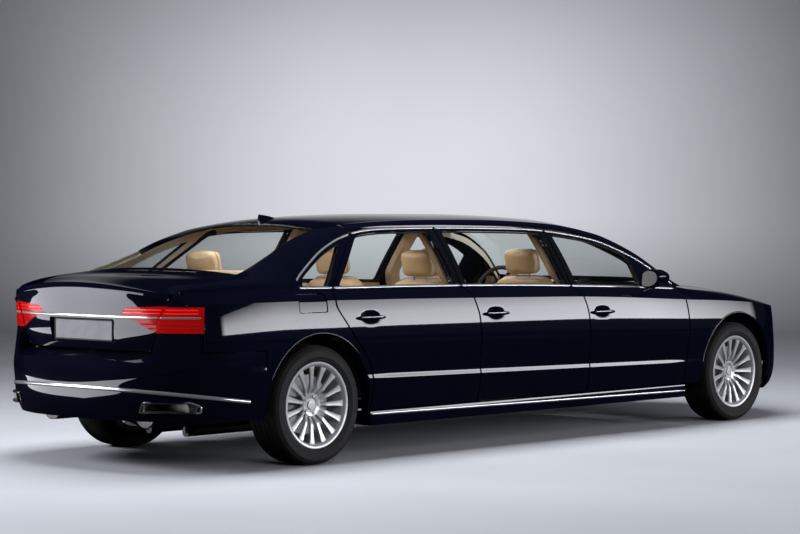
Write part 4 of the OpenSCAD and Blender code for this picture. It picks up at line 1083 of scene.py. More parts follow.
def wing_grids():
    s, u = np.meshgrid(spaced([(0, 0.03, 1), (0.03, 5, 52)]), spaced([(0, 0.004, 1), (0.004, 1, 72)]),
                       indexing="ij")
    x = mix(curve(SPLIT, 4, row_z(1560.0 + 0 * s, s)) + DOOR_GAP / 2, WING_END, u)
    z = row_z(x, s)
    outer = np.stack([x, skin(x, z), z], -1)
    inner = np.stack([x + 9 * (1 - u), np.minimum(plan(x), side(x, z) + 4) - 40, z], -1)
    xt, y0, z0 = outer[-1, :, 0], outer[-1, :, 1], outer[-1, :, 2]
    by, bz = curve(BONNET, 3, xt) + 3, curve(BONNET, 2, xt)
    cy, cz = mix(y0, by, 0.5), 2 * mix(z0, bz, 0.6) - (z0 + bz) / 2
    crown, under = [], []
    for f in np.linspace(0, 1, 15)[1:]:
        crown.append(np.stack([xt, bow(y0, cy, by, f), bow(z0, cz, bz, f)], -1))
        under.append(mix(inner[-1], np.stack([inner[-1, :, 0], by + 6, bz - 36], -1), f))
    return np.concatenate([outer, np.stack(crown)]), np.concatenate([inner, np.stack(under)])


for tag, s in SIDES:
    outer, inner = wing_grids()
    inward = np.zeros_like(outer)
    inward[:, 0, 1] = -1
    ob = plate(f"wing_skin_{tag}", rolled(outer, inward), inner, 28)
    carve(ob, [prism(disc(AXLE_F, TYRE_R, ARCH_R), "y", 600, 1100)], angle=28)
    fit(mirrored(ob, s), NIGHT_BLUE, "body", "paint", "front_wings")
    fit(arch_lip(f"front_arch_lip_{tag}", AXLE_F, s), NIGHT_BLUE, "body", "paint")


def fascia_points(deep, drop):
    z, k = np.meshgrid(np.linspace(205, 785, 44), np.linspace(-1, 1, 141), indexing="ij")
    r, w = curve(FRONT_ROWS, 1, z) - deep, curve(FRONT_ROWS, 2, z) - deep
    f = np.arccos(((FASCIA_X - NOSE_X) / r) ** 1.275) * np.abs(k) ** 0.85
    low = np.stack([NOSE_X + r * np.cos(f) ** (2 / 2.55), w * np.sign(k) * np.sin(f) ** (2 / 2.55), z], -1)
    k = k[0]
    t = np.abs(k)
    c = np.minimum(t / 0.7, 1) * np.sign(k)
    x = np.where(t < 0.7, bonnet_front(c) + 6, mix(bonnet_front(1.0) + 6, FASCIA_X, (t - 0.7) / 0.3))
    head = np.stack([x, c * (curve(BONNET, 3, x) + 3),
                     np.where(t < 0.7, bonnet_z(x - 6, c) - 4, curve(BONNET, 2, x) - 2) - drop], -1)
    return np.concatenate([low, np.stack([mix(low[-1], head, g) for g in np.linspace(0, 1, 9)[1:]])])


def fascia_x(y, z, deep=0.0):
    reach, wide = curve(FRONT_ROWS, 1, z) - deep, curve(FRONT_ROWS, 2, z) - deep
    return NOSE_X + reach * oval(np.abs(y) / wide, 2.55)


def flip_y(pts):
    return [(-y, z) for y, z in pts][::-1]


nose = plate("front_bumper_skin", fascia_points(0, 0), fascia_points(30, 34), 28)
carve(nose, [prism(p, "x", 2600, 3300) for p in (GRILLE, LAMP, flip_y(LAMP), INTAKE)], angle=28)
fit(nose, NIGHT_BLUE, "body", "paint", "front_bumper")


def nose_at(y, a):
    return NOSE_X + a * oval(np.abs(y) / (HALF_W - 40), 2.55)


def bar_across(z, h, w, fore, aft):
    ys = np.linspace(-w, w, 41)
    return tube("bar", [[(float(nose_at(y, fore)), y, z), (float(nose_at(y, fore)), y, z + h),
                         (float(nose_at(y, aft)), y, z + h), (float(nose_at(y, aft)), y, z)] for y in ys], 40)


slats = []
for k in range(9):
    z = 474 + 32 * k
    w = np.interp([z, z + 9], [470, 560, 740], [330, 360, 340]).min() - 1
    slats.append(paint_on(bar_across(z, 9, w, 860, 838), GLOSS_BLACK))
for y in (-230, -115, 0, 115, 230):
    x = float(nose_at(y, 842))
    slats.append(paint_on(crate((x, y - 5, 474), (x + 14, y + 5, 736)), GLOSS_BLACK))
fit(join("grille_slats", slats), None, "body", "dark_trim", "grille")
ring = np.array(rounded(GRILLE, 12))
path = np.stack([fascia_x(ring[:, 0], ring[:, 1]) + 1, ring[:, 0], ring[:, 1]], 1)
fit(strip("grille_surround", path, [(1, 0, 0)] * len(path), 16, 6, True), CHROME, "body", "wheel_alloy")
panel = prism([(-560, 275), (560, 275), (560, 735), (-560, 735)], "x", 3050, 3054)
fit(panel, DARK_TRIM, "body", "dark_trim").name = "radiator_panel"


def lamp_points(deep):
    v, u = np.meshgrid(np.linspace(0, 1, 16), np.linspace(0, 1, 50), indexing="ij")
    y = mix(mix(471, 519, v) + 1, 868, u ** 0.8)
    z = mix(661 - 20 * (y - 470) / 490, 739 + 12 * (y - 520) / 440, v)
    return np.stack([fascia_x(y, z, deep), y, z], -1)


for tag, s in SIDES:
    lens = plate(f"headlamp_lens_{tag}", lamp_points(2), lamp_points(6))
    fit(mirrored(lens, s), LENS, "body", "lamp_clear", "headlamps")
    inside = [paint_on(plate("bowl", lamp_points(44), lamp_points(50)), SILVER_INSIDE)]
    for y in (560, 660, 760):
        x = float(fascia_x(y, 700.0, 42))
        eye = lathe("eye", [(0, 0), (30, 0), (34, 14), (30, 24), (0, 30)], 40)
        eye.data.transform(Matrix.Rotation(-math.pi / 2, 4, "Z"))
        inside.append(paint_on(shifted(eye, x - 6, y, 700), SILVER_INSIDE if y < 760 else GLOSS_BLACK))
    fit(mirrored(join(f"headlamp_inside_{tag}", inside), s), None, "body", "lamp_clear")


# boot lid and tail
TAIL = np.array([[0, 1060, 808, 698, 62], [1, 1000, 792, 690, 30], [2, 930, 780, 656, 0],
                 [3, 860, 772, 612, 0], [4, 780, 766, 596, 0], [5, 696, 738, 545, 0]], float)
STRIP_Z = 893


def tail_at(y, a):
    return TAIL_X - a * oval(np.abs(y) / (HALF_W - 8.5), 3.3)


def tail_face(y, z):
    """Tail of the lid at a height."""
    return tail_at(y, np.interp(z, TAIL[::-1, 1], TAIL[::-1, 2]))


def lid_half(z):
    return np.interp(z, [696, 780, 860, 930, 971, 998], [545, 596, 612, 656, 690, 698])


def lid_points(d):
    across = spaced([(-1, -0.994, 1), (-0.994, 0.994, 96), (0.994, 1, 1)])
    v, c = np.meshgrid(spaced([(0, 0.01, 1), (0.01, 1, 44)]), across, indexing="ij")
    y = c * (edge_y(mix(window_base(1.0) - 18, -3005, v)) - 8)
    x = mix(window_base(c) - 18, tail_at(y, 804), v)
    lip = 1089 - 62 * (np.abs(y) / 700) ** 2
    z = mix(top(x, y), lip, v**3)
    rear, fore = np.clip((v - 0.8) / 0.2, 0, 1), np.clip(1 - v / 0.2, 0, 1)
    deck = np.stack([x + 0.7 * d * rear, y - 0.83 * d * c * fore, z - 0.9 * d], -1)
    q, c = np.meshgrid(spaced([(0, 4.96, 62), (4.96, 5, 1)]), across, indexing="ij")
    y = c * curve(TAIL, 3, q)
    z = curve(TAIL, 1, q) - curve(TAIL, 4, q) * (np.abs(y) / 700) ** 2 - 0.6 * d * np.clip(1 - q, 0, 1)
    return np.concatenate([deck, np.stack([tail_at(y, curve(TAIL, 2, q)) + d, y, z], -1)])


def lid_lamp(m):
    pts = [(345 + 3 * m, 905), (400 + m, 948 - m), (720, 962 - m), (720, 812 + m), (590, 812 + m),
           (470, 868 + m)]
    return rounded(pts, 14)


def both_sides(pts, lo, hi):
    return join("cutter", [prism(pts, "x", lo, hi), prism(flip_y(pts), "x", lo, hi)])


hollow = rounded([(-285, 742), (285, 742), (300, 878), (-300, 878)], 20)
face = lid_points(0)
inward = np.zeros_like(face)
inward[0] = inward[:, 0] = inward[:, -1] = DOWN
inward[50:, 0] = inward[50:, -1] = inward[-1] = (1, 0, 0)
lid = plate("boot_lid_skin", rolled(face, inward), lid_points(40), 28)
bed = plate("bed", lid_points(-6), lid_points(20))
bed = carve(bed, [both_sides(lid_lamp(0), -3300, -2850)], "INTERSECT")
carve(lid, [bed, prism(hollow, "x", -3300, -3042)], angle=28)
pins = [paint_on(mirrored(prism(disc(-2610, 1112, 6, 20), "y", 258, 342), s), STEEL) for _, s in SIDES]
fit(join("boot_lid_skin", [paint_on(lid, NIGHT_BLUE)] + pins), None, "trunk_lid", "paint", "trunk_lid")
fit(prism(hollow, "x", -3044, -3041), GLOSS_BLACK, "trunk_lid", "dark_trim").name = "plate_bed"
blank = box_outline(-260, 260, 755, 865, 10)
fit(prism(blank, "x", -3052, -3046), PLATE_BLANK, "trunk_lid", "dark_trim").name = "blank_plate"
frame_path = [(-3051, y, z) for y, z in box_outline(-264, 264, 751, 869, 12)]
plate_frame = strip("plate_frame", frame_path, [(-1, 0, 0)] * len(frame_path), 9, 5, True)
fit(plate_frame, DARK_TRIM, "trunk_lid", "dark_trim")


def tail_bar(name, z, y0, y1, face, width, height, lift, n=30):
    y = np.linspace(y0, y1, n)
    x = face(y, z + 0 * y)
    slope = np.gradient(x, y)
    out = np.stack([-np.ones(n), slope, np.zeros(n)], 1)
    out /= np.linalg.norm(out, axis=1, keepdims=True)
    return strip(name, np.stack([x, y, z + 0 * y], 1) + out * lift, out, width, height)


LENS_ROWS = np.array([[800, 769, 972], [806, 770, 972], [880, 776, 974], [955, 786, 972]], float)


def lens_face(y, z):
    r, w = np.interp(z, LENS_ROWS[:, 0], LENS_ROWS[:, 1]), np.interp(z, LENS_ROWS[:, 0], LENS_ROWS[:, 2])
    return TAIL_X - r * oval(np.abs(y) / w, 3.4)


def lens_points(d):
    z, f = np.meshgrid(np.linspace(806, 955, 24), np.radians(np.linspace(25, 55, 60)), indexing="ij")
    r, w = (np.interp(z, LENS_ROWS[:, 0], LENS_ROWS[:, k]) - d for k in (1, 2))
    return np.stack([TAIL_X - r * np.cos(f) ** (2 / 3.4), w * np.sin(f) ** (2 / 3.4), z], -1)


def lamp_bars(name, bars, s, body):
    """The two lower bars are dim, the others glow."""
    parts = [paint_on(b, RED_LENS if k < 2 else RED_GLOW) for k, b in enumerate(bars)]
    fit(mirrored(join(name, parts), s), None, body, "lamp_red")


OUTER_LAMP = [(606, 800), (1100, 800), (1100, 1000), (712, 990), (664, 930), (620, 860)]
for tag, s in SIDES:
    lens = plate("lens", lid_points(0), lid_points(19))
    lens = carve(lens, [prism(lid_lamp(0.4), "x", -3300, -2850)], "INTERSECT")
    fit(mirrored(lens, s), RED_LENS, "trunk_lid", "lamp_red", "lid_lamps").name = f"lid_lamp_lens_{tag}"
    bars = [tail_bar("bar", z, y0, y1, tail_face, 9, 3, 0.5) for z, y0, y1 in
            ((832, 560, 598), (856, 500, 606), (918, 372, 640), (938, 396, 652))]
    lamp_bars(f"lid_lamp_bars_{tag}", bars, s, "trunk_lid")
    lens = carve(plate("lens", lens_points(0), lens_points(40)),
                 [prism(rounded(OUTER_LAMP, 10), "x", -3300, -2872)], "INTERSECT")
    fit(mirrored(lens, s), RED_LENS, "body", "lamp_red", "tail_lamps").name = f"tail_lamp_lens_{tag}"
    bars = [tail_bar("bar", z, float(lid_half(z)) + 16, 838, lens_face, 9, 3, 0.5)
            for z in (832, 856, 918, 938)]
    lamp_bars(f"tail_lamp_bars_{tag}", bars, s, "body")
    bar = tail_bar(f"tail_strip_{tag}", STRIP_Z, float(lid_half(STRIP_Z)) + 10, 846, lens_face, 13, 4, 0.5)
    fit(mirrored(bar, s), CHROME, "body", "wheel_alloy")
reach = float(lid_half(STRIP_Z)) - 4
fit(tail_bar("tail_strip_lid", STRIP_Z, -reach, reach, tail_face, 13, 4, 0.5, 90),
    CHROME, "trunk_lid", "wheel_alloy")


# body corner between the quarter's end and the top of the outer lamp
def corner_points(d):
    f, t = np.linspace(0, 1, 20), np.linspace(0, 1, 40)
    top_z, join_z = float(opening(np.array([QUARTER_END]))[0]), 961.0
    arc = np.stack(rail_arc(np.array([QUARTER_END]), np.array([top_z]), np.linspace(1, 0, 24)))[:, 0]
    wall_z = np.linspace(top_z, join_z, 17)[1:]
    wall = np.stack([np.full(16, QUARTER_END), skin(np.full(16, QUARTER_END), wall_z), wall_z], 1)
    head = np.concatenate([arc, wall])
    head[:, 0] -= 1.5
    y = np.linspace(float(lid_half(957.0)) + 10, head[-1, 1] - 5, 40)
    foot = np.stack([lens_face(y, 955.0) - 2, y, np.full(40, 957.0)], 1)
    bulge = np.sin(np.pi * f)[:, None, None] * np.array([-10.0, 4.0, 8.0])
    sheet = mix(head[None], foot[None], f[:, None, None]) + bulge * (1 - t**2)[None, :, None]
    return sheet + np.array([d, -0.6 * d, -d])


for tag, s in SIDES:
    corner = plate(f"tail_corner_{tag}", corner_points(0), corner_points(5), 40)
    fit(mirrored(corner, s), NIGHT_BLUE, "body", "paint")

# rear bumper: height, reach behind the tail's start, half width, how square the corner is
REAR_ROWS = np.array([[0, 300, 840, 930, 2.7], [1, 345, 858, 945, 2.7],
                      [2, 420, 876, 962, 2.7], [3, 487, 880, 966, 2.7],
                      [4, 560, 876, 966, 2.8], [5, 640, 852, 962, 3]], float)
REAR_KEYS = ([(0, x) for x in spaced([(-2484, -2492, 1), (-2492, -2873, 18), (-2873, -2884, 2)])]
             + [(1, y) for y in spaced([(812, 700, 8), (700, 618, 5), (618, 562, 3), (562, 0, 22)])])


def on_bumper(key, r, w, n):
    kind, v = key
    if kind == 0:
        return v, w * (1 - ((TAIL_X - v) / r) ** n) ** (1 / n)
    return TAIL_X - r * (1 - (v / w) ** n) ** (1 / n), v


def shelf_z(y):
    return 659 - 53 * (min(abs(y), 835) / 835) ** 2


def bumper_column(key, deep):
    pts = []
    for q in spaced([(0, 5, 46)]):
        z, r, w, n = (float(curve(REAR_ROWS, k, q)) for k in (1, 2, 3, 4))
        k = key if key[0] == 0 else (1, key[1] * (1 - deep / 900))
        x, y = on_bumper(k, r - deep, w - deep, n)
        pts.append((x, y, mix(560, shelf_z(y), q - 4) if q > 4 else z))
    kind, v = key
    if kind == 0 and v > -2876:
        z, r, w, n = 692, 846, 960, 3
    elif kind == 0 or v > 600:
        z, r, w, n = 798, 792, 968, 3.2
    else:
        z, r, w, n = 684, 748, 930, 3
    x, y = on_bumper(key, r, w, n)
    end = (x, y - 0.6 * deep, z - 0.4 * deep) if kind == 0 else (x + 0.43 * deep, y, z - 0.4 * deep)
    last = np.array(pts[-1])
    return pts + [mix(last, np.array(end), f).tolist() for f in np.linspace(0, 1, 9)[1:]]


def bumper_points(deep):
    half = np.array([bumper_column(k, deep) for k in REAR_KEYS])
    other = half[:-1] * np.array([1, -1, 1])
    return np.concatenate([other, half[::-1]]).transpose(1, 0, 2)


def tip_outline(m):
    pts = [(560 + m, 352 + m), (580 + m, 412 - m), (800 - m, 412 - m), (830 - 1.6 * m, 390 - m),
           (820 - m, 352 + m)]
    return rounded(pts, 9)


def bumper_face(y, z):
    q = np.interp(z, REAR_ROWS[:, 1], REAR_ROWS[:, 0])
    r, w, n = (curve(REAR_ROWS, k, q) for k in (2, 3, 4))
    return TAIL_X - r * oval(np.abs(y) / w, n)


def strip_end():
    """Angle at which the bumper's bright strip stops, on the side."""
    q = float(np.interp(407, REAR_ROWS[:, 1], REAR_ROWS[:, 0]))
    r, n = (float(curve(REAR_ROWS, k, q)) for k in (2, 4))
    return math.acos(((TAIL_X + 2595) / r) ** (n / 2))


rear = plate("rear_bumper_skin", bumper_points(0), bumper_points(50), 28)
carve(rear, [both_sides(tip_outline(0), -3300, -2890)], angle=28)
fit(rear, NIGHT_BLUE, "body", "paint", "rear_bumper")
for tag, s in SIDES:
    ring = np.array(tip_outline(1))
    path = np.stack([bumper_face(ring[:, 0], ring[:, 1]) - 1, ring[:, 0], ring[:, 1]], 1)
    out = np.stack([-np.ones(len(ring)), 0.25 + 0 * ring[:, 0], 0 * ring[:, 0]], 1)
    fit(mirrored(strip(f"exhaust_surround_{tag}", path, out, 14, 5, True), s), CHROME, "body", "wheel_alloy")
    # bright strip round the bumper, dipping towards the wheel
    path = []
    for f in np.linspace(strip_end(), 0, 60):
        z = 480.0
        for _ in range(5):
            q = float(np.interp(z, REAR_ROWS[:, 1], REAR_ROWS[:, 0]))
            r, w, n = (float(curve(REAR_ROWS, k, q)) for k in (2, 3, 4))
            x = TAIL_X - r * math.cos(f) ** (2 / n)
            z = 407 + 0.136 * (-2595 - x)
        path.append((x, w * math.sin(f) ** (2 / n), z))
    path = np.array(path)
    run = np.gradient(path, axis=0)
    out = np.stack([-np.abs(run[:, 1]) - 1e-3, np.abs(run[:, 0]), 0 * run[:, 0]], 1)
    line = strip(f"bumper_strip_{tag}", path, out, 22, 7, False, 0.9)
    fit(mirrored(line, s), CHROME, "body", "wheel_alloy")


# door mirrors
def ring_at(x, k):
    base = [(0, 0), (60, -6), (120, 6), (160, 40), (165, 90), (130, 125), (60, 130), (10, 110)]
    pts = rounded(base, 30, 4)
    return [(x, 935 + mix(60, y, k), 985 + mix(60, z, k)) for y, z in pts]


for tag, s in SIDES:
    xs = np.linspace(1060, 1236, 22)
    ks = np.interp(xs, [1060, 1066, 1085, 1150, 1210, 1236], [0.86, 0.93, 1.0, 0.96, 0.75, 0.40])
    shell = [paint_on(tube("shell", [ring_at(x, k) for x, k in zip(xs, ks)]), NIGHT_BLUE)]
    shell.append(paint_on(tube("glass", [ring_at(1058.5, 0.78), ring_at(1061, 0.80)]), MIRROR_PAINTED_REFLECTION))
    stalk = [[(1150 + 34 * math.cos(a) * k, y, 968 + 11 * math.sin(a) * k + dz) for a in around(18)]
             for y, k, dz in ((914, 1.15, 0), (935, 0.95, 5), (965, 0.85, 14), (985, 0.8, 20))]
    shell.append(paint_on(tube("stalk", stalk), GLOSS_BLACK))
    fit(mirrored(join(f"mirror_{tag}_shell", shell), s), None, f"front_door_{tag}", "paint", f"mirror_{tag}")


# wheels, built about the origin with the axle along y and the outer face at +y
RIBS = ((-96, -64), (-58, -22), (-16, 16), (22, 58), (64, 96))


def wheel_parts():
    barrel = lathe("barrel", [(222, -112), (250, -114), (258, -113), (258, -104), (243, -99), (240, -60),
                              (240, 60), (243, 99), (258, 104), (258, 112), (255, 114), (246, 114),
                              (238, 110), (231, 100), (226, 80), (224, 0)], 120)
    hub = lathe("hub", [(0, 36), (66, 36), (73, 48), (72, 60), (66, 65), (44, 63), (38, 59), (0, 59)], 72)
    rings = []
    for r in np.linspace(60, 236, 20):
        f = (r - 60) / 176
        face = float(np.interp(r, [60, 72, 112, 228], [61, 62, 83, 99])) - 1
        half = 9.0 + 8.0 * f + 9.0 * f**6
        deep = mix(24, 18, f)
        edge = [(deep, 0.7), (5, 1), (1, 0.74), (1.6, 0.25)]
        edge += [(d, -k) for d, k in edge[::-1]]
        rings.append([(r, face - d, -k * half) for d, k in edge])
    spokes = repeat(tube("spoke", rings), 15, ALLOY)
    bolt = prism(disc(54, 0, 9, 6), "y", 56, 69)
    bolts = repeat(bolt, 5, STEEL)
    cap = lathe("cap", [(0, 56), (29, 56), (31, 62), (28, 66), (0, 67)], 48)
    rotor = lathe("rotor", [(64, -12), (178, -12), (178, -3), (64, -3)], 72)
    outer = lathe("rotor", [(64, 5), (178, 5), (178, 14), (64, 14)], 72)
    vane = prism([(70, -3), (172, -3), (172, 3), (70, 3)], "y", -4, 6)
    vanes = repeat(vane, 36, STEEL)
    bell = lathe("bell", [(30, -19), (66, -19), (68, 44), (30, 44)], 48)
    return ([paint_on(o, ALLOY) for o in (barrel, hub)] + [spokes, bolts, paint_on(cap, ALLOY)]
            + [paint_on(o, STEEL) for o in (rotor, outer, bell)] + [vanes])


def tyre_parts():
    half = [(241.5, 98), (246, 106), (256, 109), (262, 113), (275, 121), (285, 124.5), (287, 126),
            (291, 126.2), (293, 125.5), (306, 127.3), (318, 125.8), (320, 127), (324, 126.6), (326, 124.6),
            (338, 118), (346, 110), (350, 100), (350, 60)]
    carcass = lathe("carcass", half + [(350, 0)] + [(r, -w) for r, w in half[::-1]] + [(241.5, 0)], 144)
    parts = [paint_on(carcass, RUBBER)]
    for k, (a, b) in enumerate(RIBS):
        count = 84 if k in (0, 4) else 66
        h = math.pi / count * 0.86
        lean = 0.0 if k == 2 else math.copysign(0.022, a + b)
        block = []
        for w, turn in ((a, -lean), (b, lean)):
            outer = 352.5 if (k == 0 and w == a) or (k == 4 and w == b) else 355.7
            corners = ((349, -h), (outer, -h), (outer, 0), (outer, h), (349, h))
            block.append([(r * math.cos(turn + d), w, r * math.sin(turn + d)) for r, d in corners])
        parts.append(repeat(tube("block", block), count, RUBBER))
    return parts


CORNERS = (("fl", AXLE_F, 822), ("fr", AXLE_F, -822), ("rl", AXLE_R, 817.5), ("rr", AXLE_R, -817.5))
for kind, parts, slot in (("rim", wheel_parts, "wheel_alloy"), ("tyre", tyre_parts, "tyre_rubber")):
    proto = join(f"{kind}_proto", parts())
    for tag, x, y in CORNERS:
        ob = link(f"{kind}_{tag}_wheel", proto.data.copy())
        fit(shifted(ob, x, y, TYRE_R, 1 if y > 0 else -1), None, f"wheel_{tag}", slot, f"{kind}_{tag}")
    bpy.data.objects.remove(proto)


# cabin
SEATS = ((823, 400, 250, "front_seats"), (-209, 400, 250, "rear_seats"), (-1390, 375, 218, "rear_seats"))


def block(name, size, power=7.0, cut=26):
    """Rounded block about the origin: half sizes along x, y, z."""
    g = np.linspace(-1, 1, cut + 1)
    verts, faces = [], []
    for axis in range(3):
        for sign in (-1, 1):
            base = len(verts)
            for p in g:
                for q in g:
                    v = [0.0, 0.0, 0.0]
                    v[axis], v[(axis + 1) % 3], v[(axis + 2) % 3] = sign, p, q
                    verts.append(v)
            f = grid_faces(cut + 1, cut + 1, base)
            faces += f if sign > 0 else [k[::-1] for k in f]
    v = np.array(verts)
    v = v / (np.abs(v) ** power).sum(1, keepdims=True) ** (1 / power)
    return shape(name, v * np.asarray(size, float), faces, 60)


def points(ob):
    co = np.empty(len(ob.data.vertices) * 3)
    ob.data.vertices.foreach_get("co", co)
    return co.reshape(-1, 3) / MM


def place(ob, co):
    ob.data.vertices.foreach_set("co", (np.asarray(co) * MM).ravel())
    ob.data.update()
    return ob


def quilted(ob, half, lines, cross, depth):
    """Presses seams into the padded face (+z): lines along x at shares of y, cross seams at shares of x."""
    co = points(ob)
    u, v = co[:, 1] / half[1], co[:, 0] / half[0]
    up = np.clip(co[:, 2] / half[2], 0, 1) ** 2
    crown = 12 * (1 - u**2) * (1 - v**4)
    wing = 10 * np.clip((np.abs(u) - 0.66) / 0.2, 0, 1) * np.clip((1 - np.abs(u)) / 0.1, 0, 1)
    dip = np.zeros(len(co))
    for at in lines:
        dip = np.maximum(dip, depth * np.exp(-((u - at) * half[1] / 7) ** 2))
    for at in cross:
        inside = np.abs(u) < max(lines)
        dip = np.maximum(dip, np.where(inside, depth * 0.8 * np.exp(-((v - at) * half[0] / 7) ** 2), 0))
    co[:, 2] += up * (crown * 0.6 + wing - dip)
    return place(ob, co)


def plump(ob, reach=4.0, voxel=0.006):
    """Lets air pressure fill a cushion, within reach of the drawn shape, and gives a smooth mesh back."""
    re = ob.modifiers.new("skin", "REMESH")
    re.mode, re.voxel_size, re.use_smooth_shade = "VOXEL", voxel, True
    bake(ob)
    drawn = points(ob)
    cloth = ob.modifiers.new("fill", "CLOTH")
    cs = cloth.settings
    cs.quality, cs.mass, cs.use_pressure, cs.uniform_pressure_force = 4, 0.3, True, 4.0
    cs.tension_stiffness = cs.compression_stiffness = 18
    cs.bending_stiffness = 2.0
    cs.effector_weights.gravity = 0
    scene = bpy.context.scene
    cloth.point_cache.frame_start, cloth.point_cache.frame_end = 1, 20
    for f in range(1, 21):
        scene.frame_set(f)
    bake(ob)
    scene.frame_set(1)
    filled = points(ob)
    move = filled - drawn
    far = np.linalg.norm(move, axis=1, keepdims=True)
    place(ob, drawn + move * np.minimum(1, reach / np.maximum(far, 1e-6)))
    ob.modifiers.new("thin", "DECIMATE").ratio = 0.3
    bake(ob)
    ob.data.shade_smooth()
    return ob


def piping(path, r=2.6):
    p = np.asarray(path, float)
    run = np.roll(p, -1, 0) - np.roll(p, 1, 0)
    run /= np.linalg.norm(run, axis=1, keepdims=True)
    side_way = np.cross(run, (0, 0, 1.0))
    side_way /= np.maximum(np.linalg.norm(side_way, axis=1, keepdims=True), 1e-9)
    up = np.cross(side_way, run)
    rings = [[at + r * (math.cos(t) * to + math.sin(t) * high) for t in around(6)]
             for at, to, high in zip(p, side_way, up)]
    return paint_on(tube("piping", rings, 60, True), SEAM)


def rim_path(half, power, z, n=72, out=1.0):
    t = np.linspace(0, 2 * math.pi, n, endpoint=False)
    k = (1 - (abs(z) / half[2]) ** power) ** (1 / power)
    c, s = np.cos(t), np.sin(t)
    r = 1 / (np.abs(c) ** power + np.abs(s) ** power) ** (1 / power)
    return np.stack([half[0] * c * r * k * out, half[1] * s * r * k * out, z + 0 * t], 1)


def moved(ob, m):
    ob.data.transform(m)
    return ob


def tilt(angle, x, z):
    return Matrix.Translation((x * MM, 0, z * MM)) @ Matrix.Rotation(math.radians(angle), 4, "Y")


CUSHIONS = {}
for w in (250, 218):
    half = (246, w, 74)
    pad = plump(quilted(block("cushion", half, 6, 44), half, (-0.68, 0.68), (-0.42, 0.0, 0.42), 8))
    CUSHIONS["cushion", w] = join("cushion", [paint_on(pad, BEIGE), piping(rim_path(half, 6, 40, 72, 1.004))])
    moved(CUSHIONS["cushion", w], tilt(-3.6, 72, 400))
    half = (312, w - 4, 58)
    pad = plump(quilted(block("back", half, 6, 44), half, (-0.66, 0.66), (-0.55, -0.2, 0.15, 0.5), 8))
    CUSHIONS["back", w] = join("back", [paint_on(pad, BEIGE), piping(rim_path(half, 6, 30, 72, 1.004))])
    moved(CUSHIONS["back", w], tilt(-286, -291, 762))
half = (84, 132, 46)
pad = plump(quilted(block("head", half, 5, 30), half, (-0.7, 0.7), (), 3))
CUSHIONS["head", 0] = join("head", [paint_on(pad, BEIGE), piping(rim_path(half, 5, 10, 60, 1.004))])
moved(CUSHIONS["head", 0], tilt(-280, -386, 1166))

for row, (x, y, w, node) in zip(("front", "middle", "rear"), SEATS):
    for tag, s in SIDES:
        for kind, key in (("cushion", w), ("back", w), ("head", 0)):
            ob = link(f"{row}_seat_{kind}_{tag}", CUSHIONS[kind, key].data.copy())
            fit(moved(ob, Matrix.Translation((x * MM, s * y * MM, 0))), None, "body", "seat_leather", node)
        foot = [(x - 165, 237), (x + 285, 237), (x + 300, 345), (x - 178, 345)]
        parts = [paint_on(prism(foot, "y", s * y - w + 25, s * y + w - 25), BEIGE_TRIM)]
        stems = [prism(disc(x - 372, s * y + d, 7, 16), "z", 1040, 1110) for d in (-55, 55)]
        parts += [paint_on(p, CHROME) for p in stems]
        fit(join(f"{row}_seat_base_{tag}", parts), None, "body", "seat_leather", node)
for ob in CUSHIONS.values():
    bpy.data.objects.remove(ob)

# dashboard, console, floor covering, shelf
dash_profile = rounded([(1200, 880), (1235, 968), (1420, 990), (1600, 960), (1638, 900), (1638, 640),
                        (1380, 600), (1260, 720)], 30)
dash = [paint_on(prism(dash_profile, "y", -700, 700), DARK_TRIM)]
inlay = prism([(1208, 850), (1222, 850), (1262, 728), (1250, 726)], "y", -690, 690)
dash.append(paint_on(shifted(inlay, -8, 0, 0), WALNUT))
for y in (-590, -120, 120, 590):
    vent = prism([(1198, 884), (1206, 880), (1222, 930), (1214, 934)], "y", y - 60, y + 60)
    dash.append(paint_on(vent, GLOSS_BLACK))
screen = prism([(1196, 878), (1204, 876), (1232, 964), (1226, 968)], "y", -60, 50)
arch = [(400 + 190 * math.cos(a), 962 + 46 * math.sin(a)) for a in np.linspace(0, math.pi, 24)]
hood_over = [[(x, y, z) for y, z in arch] for x in (1215, 1365)]
cluster = tube("cluster", [r + [(r[0][0], 400 - 170, 955), (r[0][0], 400 + 170, 955)] for r in hood_over], 40)
dash += [paint_on(screen, GLOSS_BLACK), paint_on(cluster, DARK_TRIM)]
fit(join("dashboard_trim", dash), None, "body", "dark_trim", "dashboard")
console = rounded([(-1500, 331), (1330, 331), (1330, 590), (1180, 640), (700, 560), (-1500, 560)], 16)
console = prism(console, "y", -103, 103)
lids = [paint_on(crate((x0, -88, 560), (x1, 88, 578)), BEIGE) for x0, x1 in ((330, 640), (-700, -390))]
tops = [paint_on(crate((x0, -96, 559), (x1, 96, 563)), WALNUT) for x0, x1 in ((-380, 320), (-1480, -710))]
lever = [paint_on(prism(disc(1010, 0, 16, 20), "z", 600, 690), DARK_TRIM),
         paint_on(crate((985, -24, 690), (1035, 24, 716)), GLOSS_BLACK)]
console = join("console_trim", [paint_on(console, BEIGE_TRIM)] + lids + tops + lever)
fit(console, None, "body", "console_trim", "console")
carpet = [crate((-1560, s0, 237), (1480, s1, 246)) for s0, s1 in ((-690, -142), (142, 690))]
fit(join("floor_carpet", [paint_on(c, CARPET) for c in carpet]), None, "body", "shelf_trim")
xs = np.linspace(-2462, -1862, 40)
z = 1096 + 36 * ((xs + 2462) / 600) ** 0.8
c = np.linspace(-1, 1, 41)
half = np.interp(xs, [-2462, -2300, -2100, -1862], [600, 590, 560, 520])
cover = np.stack([np.repeat(xs[:, None], 41, 1), half[:, None] * c, z[:, None] + 4 * (1 - c**2)], -1)
lip = cover[-1:] + np.array([[[6, 0, -8]], [[8, 0, -24]], [[8, 0, -64]]])
cover = np.concatenate([cover, lip])
inward = np.zeros_like(cover)
inward[..., 2] = -9
inward[40:] = (-9, 0, -3)
